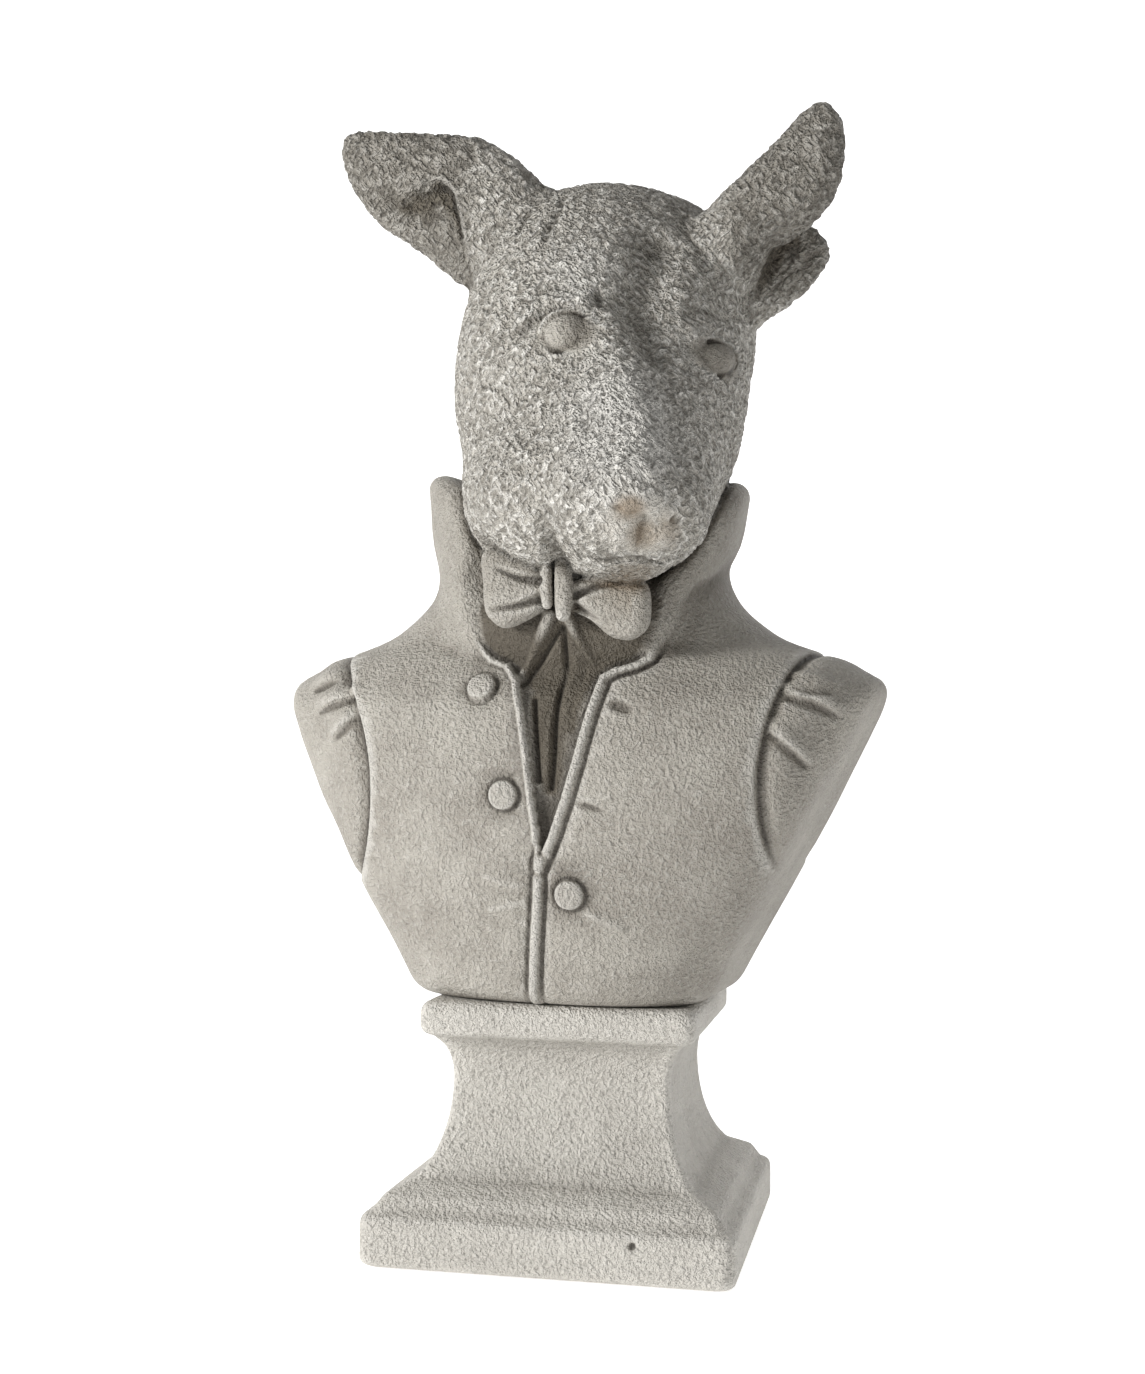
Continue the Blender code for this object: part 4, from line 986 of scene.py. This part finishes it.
def fur_mask(points):
    """1 on the coat of the head, 0 on clothes, on the eyeballs and on the nose's leather."""
    mask = 1 - step_between(head_clay.read(points), 0.6, 2.0)
    face = in_head(points)
    in_front = face[:, 1] < -40
    for x, z, half_width, half_height, _ in EYES:
        gap = oval_gap(face, x, z, half_width + 1, half_height + 1)
        mask *= np.where(in_front, step_between(gap, 0.92, 1.08), 1)
    nose = oval_gap(face, *NOSE_LEATHER)
    return mask * np.where(in_front, 0.25 + 0.75 * step_between(nose, 0.7, 1.2), 1)


def pit_mask(points):
    """1 on the left cheek, where the strokes turn to pits."""
    face = in_head(points)
    gap = np.hypot(face[:, 0] - PIT_CENTRE[0], face[:, 2] - PIT_CENTRE[1])
    return 1 - step_between(gap, PIT_REACH * 0.5, PIT_REACH)


def set_attribute(mesh, name, values):
    attribute = mesh.attributes.new(name, "FLOAT", "POINT")
    attribute.data.foreach_set("value", np.asarray(values, np.float32))


def clay_mesh(name, points, quads):
    mesh = bpy.data.meshes.new(name)
    mesh.from_pydata((points * MM).tolist(), [], quads.tolist())
    return mesh


raw = bpy.data.objects.new("bust_clay", clay_mesh("bust_clay", bust_points, bust_quads))
bpy.context.scene.collection.objects.link(raw)
set_attribute(raw.data, "fur", fur_mask(bust_points))
set_attribute(raw.data, "pits", pit_mask(bust_points))
print("points with fur:", int((fur_mask(bust_points) > 0.5).sum()))

# %% Small helpers that add nodes
def add_node(tree, kind, settings=None, inputs=None):
    """Adds a node. Settings are its own properties, inputs are values or other nodes' outputs."""
    made = tree.nodes.new(kind)
    for name, value in (settings or {}).items():
        setattr(made, name, value)
    for name, value in (inputs or {}).items():
        if isinstance(value, bpy.types.NodeSocket):
            tree.links.new(value, made.inputs[name])
        else:
            made.inputs[name].default_value = value
    return made


def combine(tree, operation, first, second):
    """Two values added, multiplied or compared."""
    return add_node(tree, "ShaderNodeMath", {"operation": operation}, {0: first, 1: second}).outputs[0]


def ranged(tree, value, low, high, to_low=0.0, to_high=1.0):
    """A value spread from one range to another."""
    return add_node(tree, "ShaderNodeMapRange", None,
                    {"Value": value, "From Min": low, "From Max": high, "To Min": to_low,
                     "To Max": to_high}).outputs[0]

# %% The node tree that presses the strokes
STROKE_ANGLES = (0.72, -0.85)
STROKE_SIZES = {
    "Stroke length": 9 * MM,
    "Stroke width": 3.8 * MM,
    "Stroke depth": 1.6 * MM,
    "Pit spacing": 5.5 * MM,
    "Pit depth": 1.2 * MM,
    "Seed": 4.0,
}


def stroke_height(tree, position, angle, length, width, seed):
    """0 to 1 along short strokes that lie at an angle in the plane of the face."""
    turned = add_node(tree, "ShaderNodeVectorRotate", {"rotation_type": "Y_AXIS"},
                      {"Vector": position, "Angle": angle}).outputs[0]
    across = combine(tree, "DIVIDE", 1.0, width)
    along = combine(tree, "DIVIDE", 1.0, length)
    scale = add_node(tree, "ShaderNodeCombineXYZ", None, {"X": across, "Y": across, "Z": along}).outputs[0]
    stretched = add_node(tree, "ShaderNodeVectorMath", {"operation": "MULTIPLY"},
                         {0: turned, 1: scale}).outputs[0]
    noise = add_node(tree, "ShaderNodeTexNoise", {"noise_dimensions": "4D"},
                     {"Vector": stretched, "W": seed, "Scale": 1.0, "Detail": 2.0,
                      "Roughness": 0.45}).outputs[0]
    return ranged(tree, noise, 0.36, 0.56)


def read_named(tree, name):
    settings = {"data_type": "FLOAT"}
    return add_node(tree, "GeometryNodeInputNamedAttribute", settings, {"Name": name}).outputs[0]


def tool_mark_tree():
    tree = bpy.data.node_groups.new("tool_marks", "GeometryNodeTree")
    tree.interface.new_socket("Geometry", in_out="INPUT", socket_type="NodeSocketGeometry")
    for name in STROKE_SIZES:
        tree.interface.new_socket(name, in_out="INPUT", socket_type="NodeSocketFloat")
    tree.interface.new_socket("Material", in_out="INPUT", socket_type="NodeSocketMaterial")
    tree.interface.new_socket("Geometry", in_out="OUTPUT", socket_type="NodeSocketGeometry")
    sizes = add_node(tree, "NodeGroupInput").outputs
    position = add_node(tree, "GeometryNodeInputPosition").outputs[0]
    normal = add_node(tree, "GeometryNodeInputNormal").outputs[0]
    strokes = [stroke_height(tree, position, angle, sizes["Stroke length"], sizes["Stroke width"],
                             sizes["Seed"]) for angle in STROKE_ANGLES]
    crossed = combine(tree, "MINIMUM", *strokes)
    stroke = combine(tree, "MULTIPLY", combine(tree, "SUBTRACT", crossed, 1.0), sizes["Stroke depth"])
    cells = add_node(tree, "ShaderNodeTexVoronoi", {"voronoi_dimensions": "4D"},
                     {"Vector": position, "W": sizes["Seed"],
                      "Scale": combine(tree, "DIVIDE", 1.0, sizes["Pit spacing"])})
    bowl = add_node(tree, "ShaderNodeMapRange", {"interpolation_type": "SMOOTHSTEP"},
                    {"Value": cells.outputs["Distance"], "From Min": 0.5, "From Max": 0.2}).outputs[0]
    pit = combine(tree, "MULTIPLY", combine(tree, "MULTIPLY", bowl, sizes["Pit depth"]),
                  read_named(tree, "pits"))
    height = combine(tree, "MULTIPLY", combine(tree, "SUBTRACT", stroke, pit), read_named(tree, "fur"))
    offset = add_node(tree, "ShaderNodeVectorMath", {"operation": "SCALE"}, {0: normal, "Scale": height})
    moved = add_node(tree, "GeometryNodeSetPosition", None,
                     {"Geometry": sizes["Geometry"], "Offset": offset.outputs[0]})
    real = add_node(tree, "GeometryNodeRealizeInstances", None, {"Geometry": moved.outputs[0]})
    painted = add_node(tree, "GeometryNodeSetMaterial", None,
                       {"Geometry": real.outputs[0], "Material": sizes["Material"]})
    add_node(tree, "NodeGroupOutput", None, {"Geometry": painted.outputs[0]})
    return tree


marks = tool_mark_tree()
print("tool mark nodes:", len(marks.nodes))

# %% [markdown]
# ## Cement
#
# The castings are dry cement with sharp sand: pale warm grey with a faint sheen. Edges are painted lighter,
# partly wear and partly painted highlight, and hollows darker and browner, partly dust and partly painted
# shade. Sand a fraction of a millimetre across would not show from here, so it is drawn coarser, as grains
# of 1 and 2 mm that give specks of colour and a rough skin. On the coat, fine strokes in the material run
# between the coarse ones in the mesh, with painted highlights on their tops and painted shade in their
# gaps. Painted light pales the lit front of the face, and painted shade darkens recesses and the sides away
# from the lamp.

# %% Colours of dry cement and of its painted light and shade
def linear(code):
    """A colour given as sRGB hex, in Blender's linear values."""
    out = []
    for start in (1, 3, 5):
        value = int(code[start:start + 2], 16) / 255
        out.append(value / 12.92 if value <= 0.04045 else ((value + 0.055) / 1.055) ** 2.4)
    return (*out, 1.0)


CEMENT_PALE = "#C6C1B7"
CEMENT_MIDDLE = "#AFA99F"
DARK_SPECK_AND_SHADE = "#4A4338"
PALE_AND_HIGHLIGHT = "#E9E6DF"
DUST_AND_SHADE = "#4B453D"
STAIN_AND_SHADE = "#7A6448"
SHADE_AND_TONE = "#7F796F"

# %% The cement material
FINE_SAND = 0.9 * MM
COARSE_SAND = 2.2 * MM
FUR_LENGTH = 6.4 * MM
FUR_WIDTH = 2.7 * MM
PATCH = 38 * MM
FINE_LIFT = 0.9
COARSE_LIFT = 3.8
FUR_LIFT = 3.6


def lay(tree, factor, first, second, kind="MIX"):
    """A colour (given as hex) laid over another."""
    settings = {"data_type": "RGBA", "blend_type": kind, "clamp_factor": True}
    inputs = {"Factor": factor, 6: first, 7: linear(second)}
    return add_node(tree, "ShaderNodeMix", settings, inputs).outputs[2]


def sand(tree, place, grain, detail, roughness):
    """0 to 1 over grains or patches of a size in metres."""
    inputs = {"Vector": place, "Scale": 1 / grain, "Detail": detail, "Roughness": roughness}
    return add_node(tree, "ShaderNodeTexNoise", None, inputs).outputs[0]


def read_mask(tree, name):
    return add_node(tree, "ShaderNodeAttribute", {"attribute_name": name}).outputs["Fac"]


def cast_cement(name, furry):
    """Dry cement with sharp sand; the furry one has fine strokes where the mesh says fur."""
    material = bpy.data.materials.new(name)
    material.use_nodes = True
    tree = material.node_tree
    shader = tree.nodes["Principled BSDF"]
    place = add_node(tree, "ShaderNodeTexCoord").outputs["Object"]
    patches = sand(tree, place, PATCH, 4.0, 0.6)
    fine = sand(tree, place, FINE_SAND, 1.0, 0.6)
    coarse = sand(tree, place, COARSE_SAND, 2.0, 0.65)
    height = combine(tree, "ADD", combine(tree, "MULTIPLY", fine, FINE_LIFT),
                     combine(tree, "MULTIPLY", coarse, COARSE_LIFT))
    crest = ranged(tree, coarse, 0.1, 0.9)
    if furry:
        fur = read_mask(tree, "fur")
        crossed = combine(tree, "MINIMUM", *[stroke_height(tree, place, angle, FUR_LENGTH, FUR_WIDTH, seed)
                                             for angle, seed in zip(STROKE_ANGLES, (3.0, 7.0))])
        strokes = combine(tree, "MULTIPLY", crossed, fur)
        height = combine(tree, "ADD", height, combine(tree, "MULTIPLY", strokes, FUR_LIFT))
        # The sand calms down on the coat, where the strokes' own tops and gaps take its place, as painted
        # highlights on the tops and painted shade in the gaps
        lean = combine(tree, "MULTIPLY", combine(tree, "SUBTRACT", crossed, 0.45), fur)
        calm = combine(tree, "SUBTRACT", 1.0, combine(tree, "MULTIPLY", fur, 0.5))
        crest = combine(tree, "MULTIPLY", combine(tree, "SUBTRACT", crest, 0.5), calm)
        crest = combine(tree, "ADD", crest, 0.53)
        crest = combine(tree, "ADD", crest, combine(tree, "MULTIPLY", lean, 0.95))
    colour = lay(tree, ranged(tree, patches, 0.35, 0.65), linear(CEMENT_MIDDLE), CEMENT_PALE)
    if furry:
        colour = lay(tree, ranged(tree, fur, 0, 1, 0, 0.8), colour, CEMENT_PALE)
    # Painted light: the lit left front of the muzzle and the left brow are painted pale; on the plinth the
    # same attribute gives an even paler tone
    colour = lay(tree, read_mask(tree, "painted_light_and_pale_tone"), colour, PALE_AND_HIGHLIGHT)
    curve = read_mask(tree, "curve")
    for value, low, high, strength, hex_code in (
        # Painted highlights on the strokes' tops and painted shade in their gaps; on the sand, pale and
        # dark specks of grain
        (crest, 0.55, 1.0, 0.7, PALE_AND_HIGHLIGHT),
        (crest, 0.4, 0.0, 0.7, DARK_SPECK_AND_SHADE),
        # Convex edges painted lighter, partly wear and partly painted highlight; creases painted darker,
        # partly dust and partly painted shade
        (curve, 0.15, 0.55, 0.6, PALE_AND_HIGHLIGHT),
        (curve, -0.12, -0.7, 0.6, DUST_AND_SHADE),
    ):
        colour = lay(tree, ranged(tree, value, low, high, 0, strength), colour, hex_code)
    # Painted shade in hollows, inside the shirt's opening, on the ears and crown and on the sides away from
    # the lamp, and a darker tone on all the clothes
    colour = lay(tree, read_mask(tree, "shade_and_tone"), colour, SHADE_AND_TONE, "MULTIPLY")
    if furry:
        # Rusty stains on the nose, and painted shade under the overhanging lip
        colour = lay(tree, read_mask(tree, "stain_and_lip_shade"), colour, STAIN_AND_SHADE)
    tree.links.new(colour, shader.inputs["Base Color"])
    shader.inputs["Roughness"].default_value = 0.62
    shader.inputs["Specular IOR Level"].default_value = 0.5
    bump = add_node(tree, "ShaderNodeBump", None, {"Height": height, "Strength": 1.0, "Distance": 1.0 * MM})
    tree.links.new(bump.outputs[0], shader.inputs["Normal"])
    return material


coat_cement = cast_cement("cast_cement_tooled", furry=True)
plinth_cement = cast_cement("cast_cement_sandy", furry=False)
print("cement nodes:", len(coat_cement.node_tree.nodes), len(plinth_cement.node_tree.nodes))

# %% Press the marks, thin the skin and bake both into one mesh
BUST_BUDGET = 194000


def set_input(modifier, name, value):
    """Sets a node modifier's input by its socket's identifier."""
    for item in modifier.node_group.interface.items_tree:
        if item.item_type == "SOCKET" and item.in_out == "INPUT" and item.name == name:
            modifier[item.identifier] = value


tooled = raw.modifiers.new("tool_marks", "NODES")
tooled.node_group = marks
for size_name, size in STROKE_SIZES.items():
    set_input(tooled, size_name, size)
set_input(tooled, "Material", coat_cement)
thin = raw.modifiers.new("thin", "DECIMATE")
thin.ratio = BUST_BUDGET / (2 * len(bust_quads))


def baked(source, name):
    """A plain mesh object of what the modifiers make of another, which is then removed."""
    bpy.context.view_layer.update()
    graph = bpy.context.evaluated_depsgraph_get()
    mesh = bpy.data.meshes.new_from_object(source.evaluated_get(graph))
    mesh.name = name
    bpy.data.objects.remove(source)
    made = bpy.data.objects.new(name, mesh)
    bpy.context.scene.collection.objects.link(made)
    return made


def vertices_of(mesh):
    co = np.zeros(3 * len(mesh.vertices), np.float32)
    mesh.vertices.foreach_get("co", co)
    return co.reshape(-1, 3).astype(float)


bust = baked(raw, "dog_bust_cast")
bust_places = vertices_of(bust.data) / MM
print("bust:", len(bust.data.polygons), "faces")

# %% Where the surface curves, where it is stained, and where light and shade are painted
def curvature(clay, points, reach):
    """How sharply the clay's surface bends: above 0 on edges, below 0 in hollows, in 1/mm."""
    total = -6 * clay.read(points)
    for axis in range(3):
        shift = np.zeros(3)
        shift[axis] = reach
        total = total + clay.read(points + shift) + clay.read(points - shift)
    return total / reach ** 2


# Rusty stains on the nose, the last one painted shade under the lip: middle (x, z) on the face, half width,
# half height and strength
STAINS_AND_LIP_SHADE = ((-7, -98, 10, 7, 0.75), (3, -108, 10, 8, 0.55), (14, -104, 8, 9, 0.4), (9, -124, 17, 7, 0.5))


# Painted light on the lit left front of the muzzle and on the left brow: middle (x, z) on the face, half
# width and half height
LIT_MUZZLE = (-12, -58, 32, 52)
LIT_BROW = (-34, 34, 26, 26)


def stain_and_lip_shade_mask(points):
    """The rusty stains on the nose, and painted shade under the overhanging lip."""
    face = in_head(points)
    in_front = step_between(-face[:, 1], 60, 90)
    total = 0
    for x, z, half_width, half_height, strength in STAINS_AND_LIP_SHADE:
        gap = oval_gap(face, x, z, half_width, half_height)
        total = np.maximum(total, strength * (1 - step_between(gap, 0.3, 1.1)))
    return in_front * total


def shade_and_tone_mask(points):
    """Painted shade, darkest on the ears and crown, then inside the shirt's opening and round the collar,
    with a darker tone on all the clothes.
    """
    face = in_head(points)
    on_head = 1 - step_between(head_clay.read(points), 0.6, 2.0)
    # Painted shade on the ears and the crown, tops turned from the lamp, and in the forehead's valley
    ears = np.maximum(step_between(-points[:, 0], 52, 66), step_between(points[:, 0], 78, 92))
    ears = ears * step_between(points[:, 2], 500, 520)
    crown = step_between(face[:, 2], 30, 95)
    valley = np.exp(-((face[:, 0] - 4) / 16) ** 2) * step_between(face[:, 2], 8, 30)
    head = 0.55 * ears + 0.15 * crown * (1 - ears) + 0.06 * valley
    # Painted shade on the eyeballs: the left one darker towards its right side, away from the lamp; the
    # right one darker all over, partly dirt and partly painted shade
    for x, z, half_width, half_height, _ in EYES:
        gap = oval_gap(face, x, z, half_width, half_height)
        shade = 0.2 + 0.5 * step_between(face[:, 0] - x, -6, 6) if x < 0 else 0.65
        head += shade * (1 - step_between(gap, 0.9, 1.15)) * step_between(-face[:, 1], 30, 50)
    # Painted shade inside the waistcoat's opening and round the collar, and on the chest's right side, away
    # from the lamp
    left = np.array(OPENING_LEFT[::-1], float)
    right = np.array(OPENING_RIGHT[::-1], float)
    left_x = np.interp(points[:, 2], left[:, 1], left[:, 0])
    right_x = np.interp(points[:, 2], right[:, 1], right[:, 0])
    inside = np.minimum(points[:, 0] - left_x, right_x - points[:, 0])
    below_bow = 1 - step_between(points[:, 2], 330, 342)
    shirt = step_between(inside, 3, 7) * below_bow * step_between(-points[:, 1], 20, 40)
    shirt *= 1 - step_between(points[:, 2], 303, 312) * step_between(-points[:, 1], 78, 83)
    collar = step_between(points[:, 2], 318, 350)
    clothes = 0.22 + 0.78 * shirt + 0.12 * collar * (1 - shirt) + 0.16 * step_between(points[:, 0], 0, 110)
    # Painted shade in the deep hollows
    deep = np.clip(-curvature(bust_clay, points, 9.0) * 5, 0, 0.5)
    return np.clip(on_head * head + (1 - on_head) * clothes + deep, 0, 1)


def painted_light_mask(points):
    """Painted light on the lit left front of the muzzle and on the left brow, painted pale."""
    face = in_head(points)
    muzzle = oval_gap(face, *LIT_MUZZLE)
    brow = oval_gap(face, *LIT_BROW)
    lit_front = np.maximum(1 - step_between(muzzle, 0.35, 1.15), 0.5 * (1 - step_between(brow, 0.3, 1.1)))
    return 0.8 * lit_front * step_between(-face[:, 1], 40, 70)

# %% Set the bust on its plinth
PLINTH_WIDTH = 190.0
PLINTH_HEIGHT = 130.0
BUST_TURN = math.radians(6.0)
SHARP_REACH = 2.2


def place_on_plinth(points):
    """Clay measured in mm from its own origin, in the row's frame in metres."""
    c = math.cos(-BUST_TURN)
    s = math.sin(-BUST_TURN)
    turn = np.array(((c, -s, 0), (s, c, 0), (0, 0, 1)))
    lift = np.array((0, 0, PLINTH_HEIGHT + SEAT_GAP - CLAY_SEAT))
    return (np.asarray(points) @ turn.T + lift) * MM


def finish_bust(obj, points):
    """Gives the bust its masks, moves it to its place and shades it smooth."""
    set_attribute(obj.data, "curve", curvature(bust_clay, points, SHARP_REACH))
    # Masks for rusty stains and painted shade under the lip, for painted shade, and for painted light on
    # the face
    set_attribute(obj.data, "stain_and_lip_shade", stain_and_lip_shade_mask(points))
    set_attribute(obj.data, "shade_and_tone", shade_and_tone_mask(points))
    set_attribute(obj.data, "painted_light_and_pale_tone", painted_light_mask(points))
    moved = place_on_plinth(points)
    obj.data.vertices.foreach_set("co", moved.astype(np.float32).ravel())
    obj.data.update()
    obj.data.polygons.foreach_set("use_smooth", [True] * len(obj.data.polygons))


finish_bust(bust, bust_places)
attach(bust, "root")
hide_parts("dog_bust")
print("bust size:", [round(v, 4) for v in bust.dimensions])

# %% [markdown]
# ## Plinth
#
# The plinth is a square casting: a foot with rounded edges, a sloping ledge, a waist curved inwards and a
# thick cap. Its rings are filled with clay too, so its edges can be softened and a bubble hole cut.

# %% The plinth's profile
FOOT_HEIGHT = 26.5
FOOT_EDGE = 4.5
LEDGE_INSET = 10.5
LEDGE_RISE = 7.8
CAP_WIDTH = 143.0
CAP_HEIGHT = 18.0
CAP_EDGE = 5.5
WAIST_WIDTH = 113.0
WAIST_LEVEL = 90.0
CAP_FOOT_WIDTH = 131.0
CAP_FLARE = 0.9
FOOT_CORNER = 7.0
WAIST_CORNER = 3.0
CAP_CORNER = 6.0


def corner_square(width, z, radius, corner_steps=3):
    """A square ring with rounded corners."""
    points = []
    half = width / 2 - radius
    for corner in range(4):
        angle = math.pi / 2 * corner
        sx = 1 if corner in (0, 3) else -1
        sy = 1 if corner in (0, 1) else -1
        for step in range(corner_steps + 1):
            a = angle + math.pi / 2 * step / corner_steps
            points.append((sx * half + radius * math.cos(a), sy * half + radius * math.sin(a), z))
    return points


def quarter_round(count):
    """Points (inward, downward) of a rounded edge of radius 1, from its side to its top."""
    angles = np.linspace(0, math.pi / 2, count)
    return [(1 - math.cos(angle), 1 - math.sin(angle)) for angle in angles]


def plinth_profile():
    """Levels (width, z, corner radius) from the underside to the top."""
    levels = []
    for inward, downward in quarter_round(4)[::-1]:
        levels.append((PLINTH_WIDTH - 2 * FOOT_EDGE * inward, FOOT_EDGE * downward, FOOT_CORNER))
    for inward, downward in quarter_round(4):
        width = PLINTH_WIDTH - 2 * FOOT_EDGE * inward
        levels.append((width, FOOT_HEIGHT - FOOT_EDGE * downward, FOOT_CORNER))
    ledge = FOOT_HEIGHT + LEDGE_RISE
    ledge_width = PLINTH_WIDTH - 2 * LEDGE_INSET
    levels.append((ledge_width, ledge, WAIST_CORNER))
    for t in np.linspace(0, 1, 10)[1:]:
        bow = 1 - math.sqrt(1 - (1 - t) ** 2)
        width = WAIST_WIDTH + (ledge_width - WAIST_WIDTH) * bow
        levels.append((width, ledge + (WAIST_LEVEL - ledge) * t, WAIST_CORNER))
    cap_foot = PLINTH_HEIGHT - CAP_HEIGHT
    for t in np.linspace(0, 1, 5)[1:]:
        flare = (1 - math.sqrt(1 - CAP_FLARE * t ** 2)) / (1 - math.sqrt(1 - CAP_FLARE))
        width = WAIST_WIDTH + (CAP_FOOT_WIDTH - WAIST_WIDTH) * flare
        levels.append((width, WAIST_LEVEL + (cap_foot - WAIST_LEVEL) * t, WAIST_CORNER))
    for inward, downward in quarter_round(5)[::-1]:
        levels.append((CAP_WIDTH - 2 * CAP_EDGE * inward, cap_foot + CAP_EDGE * downward, CAP_CORNER))
    for inward, downward in quarter_round(5):
        width = CAP_WIDTH - 2 * CAP_EDGE * inward
        levels.append((width, PLINTH_HEIGHT - CAP_EDGE * downward, CAP_CORNER))
    return levels

# %% Cast the plinth
BUBBLE = ((45.0, -94.5, 19.6), (2.0, 2.6, 2.2))
PLINTH_MARGIN = 8
PLINTH_BUDGET = 90000
PLINTH_WEAR = 0.35


def model_plinth():
    half = PLINTH_WIDTH / 2 + PLINTH_MARGIN
    top = PLINTH_HEIGHT + PLINTH_MARGIN
    clay = Clay((-half, -half, -PLINTH_MARGIN), (half, half, top), FINE_STEP)
    rings = [np.array(corner_square(width, z, radius)) for width, z, radius in plinth_profile()]
    clay.add_skin(*close_rings(rings))
    clay.cut(ball(*BUBBLE), 0.8)
    clay.smooth()
    return clay


plinth_clay = model_plinth()
plinth_points, plinth_quads = plinth_clay.skin()
raw_plinth = bpy.data.objects.new("plinth_clay", clay_mesh("plinth_clay", plinth_points, plinth_quads))
bpy.context.scene.collection.objects.link(raw_plinth)
thin_plinth = raw_plinth.modifiers.new("thin", "DECIMATE")
thin_plinth.ratio = min(1.0, PLINTH_BUDGET / (2 * len(plinth_quads)))
plinth = baked(raw_plinth, "plinth_cast")
plinth.data.materials.append(plinth_cement)
plinth_places = vertices_of(plinth.data) / MM
set_attribute(plinth.data, "curve", curvature(plinth_clay, plinth_places, 2.5))
# Painted shade in the plinth's hollows, darker where the surface curves inwards
set_attribute(plinth.data, "shade_and_tone", np.clip(-curvature(plinth_clay, plinth_places, 8.0) * 4, 0, 0.5))
set_attribute(plinth.data, "painted_light_and_pale_tone", np.full(len(plinth_places), PLINTH_WEAR))
plinth.data.polygons.foreach_set("use_smooth", [True] * len(plinth.data.polygons))
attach(plinth, "root")
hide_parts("plinth")
print("plinth:", len(plinth.data.polygons), "faces", [round(v, 4) for v in plinth.dimensions])

# %% [markdown]
# ## Camera
#
# The camera stands where the photographer's stood: nearly a metre away, a little to the right of the
# dog's chest and slightly below the middle of the bust.

# %% Camera
CAMERA_AZIMUTH = math.radians(11.71)
CAMERA_ELEVATION = math.radians(-2.34)
CAMERA_DISTANCE = 0.960
CAMERA_TARGET = Vector((-0.0071, 0.0, 0.2943))
CAMERA_ROLL = math.radians(0.64)
FOCAL_PIXELS = 1749.9
PHOTO_HEIGHT = 1374
SENSOR = 36


def set_camera():
    cos_a = math.cos(CAMERA_AZIMUTH)
    sin_a = math.sin(CAMERA_AZIMUTH)
    cos_e = math.cos(CAMERA_ELEVATION)
    sin_e = math.sin(CAMERA_ELEVATION)
    back = Vector((sin_a * cos_e, -cos_a * cos_e, sin_e))
    level = Vector((cos_a, sin_a, 0))
    up = back.cross(level)
    right = level * math.cos(CAMERA_ROLL) + up * math.sin(CAMERA_ROLL)
    above = up * math.cos(CAMERA_ROLL) - level * math.sin(CAMERA_ROLL)
    camera = bpy.data.objects.new("camera", bpy.data.cameras.new("camera"))
    bpy.context.scene.collection.objects.link(camera)
    matrix = Matrix((right, above, back)).transposed().to_4x4()
    matrix.translation = CAMERA_TARGET + back * CAMERA_DISTANCE
    camera.matrix_world = matrix
    camera.data.sensor_fit = "VERTICAL"
    camera.data.sensor_height = SENSOR
    camera.data.sensor_width = SENSOR
    camera.data.lens = FOCAL_PIXELS * SENSOR / PHOTO_HEIGHT
    bpy.context.scene.camera = camera
    return camera


camera = set_camera()
print("lens:", round(camera.data.lens, 2), "mm")

# %% [markdown]
# ## Floor and light
#
# A photo studio's white sweep: the floor runs back and curves up. The main lamp stands at the left, a
# little above and in front, so its light grazes the coat and the chest. A weak, wide lamp and the white
# room fill the shadows, so the right side of every form is only somewhat darker.

# %% Floor
SWEEP_FRONT = 3.0
SWEEP_BACK = 1.2
SWEEP_BEND = 0.8
SWEEP_HEIGHT = 4.0
SWEEP_HALF_WIDTH = 4.0


def sweep_floor():
    """A white floor that curves up into a wall behind the object."""
    work = bmesh.new()
    rows = []
    profile = [(-SWEEP_FRONT, 0.0), (SWEEP_BACK, 0.0)]
    for step in range(1, 9):
        angle = math.pi / 2 * step / 8
        profile.append((SWEEP_BACK + SWEEP_BEND * math.sin(angle), SWEEP_BEND * (1 - math.cos(angle))))
    profile.append((SWEEP_BACK + SWEEP_BEND, SWEEP_HEIGHT))
    for y, z in profile:
        rows.append([work.verts.new((x, y, z - 0.5 * MM)) for x in (-SWEEP_HALF_WIDTH, SWEEP_HALF_WIDTH)])
    for low, high in zip(rows, rows[1:]):
        work.faces.new((low[0], low[1], high[1], high[0]))
    mesh = bpy.data.meshes.new("studio_floor")
    work.to_mesh(mesh)
    work.free()
    floor = bpy.data.objects.new("studio_floor", mesh)
    bpy.context.scene.collection.objects.link(floor)
    paint = bpy.data.materials.new("white_paper")
    paint.use_nodes = True
    sockets = paint.node_tree.nodes["Principled BSDF"].inputs
    sockets["Base Color"].default_value = linear("#F6F6F6")
    sockets["Roughness"].default_value = 0.95
    sockets["Emission Color"].default_value = (1, 1, 1, 1)
    sockets["Emission Strength"].default_value = 0.6
    mesh.materials.append(paint)
    return floor


sweep_floor()

# %% Lights
def add_light(name, place, target, size, power):
    light = bpy.data.lights.new(name, "AREA")
    light.shape = "DISK"
    light.size = size
    light.energy = power
    lamp = bpy.data.objects.new(name, light)
    bpy.context.scene.collection.objects.link(lamp)
    lamp.location = place
    lamp.rotation_mode = "QUATERNION"
    lamp.rotation_quaternion = (Vector(target) - Vector(place)).to_track_quat("-Z", "Y")
    return lamp


add_light("key", (-1.55, -1.2, 0.8), (0, 0, 0.34), 0.5, 35)
add_light("fill", (1.5, -1.6, 0.9), (0, 0, 0.3), 1.6, 1.5)
world = bpy.data.worlds.new("white_room")
world.use_nodes = True
world.node_tree.nodes["Background"].inputs["Color"].default_value = (1, 1, 1, 1)
world.node_tree.nodes["Background"].inputs["Strength"].default_value = 0.3
bpy.context.scene.world = world
bpy.context.scene.view_settings.view_transform = "Standard"
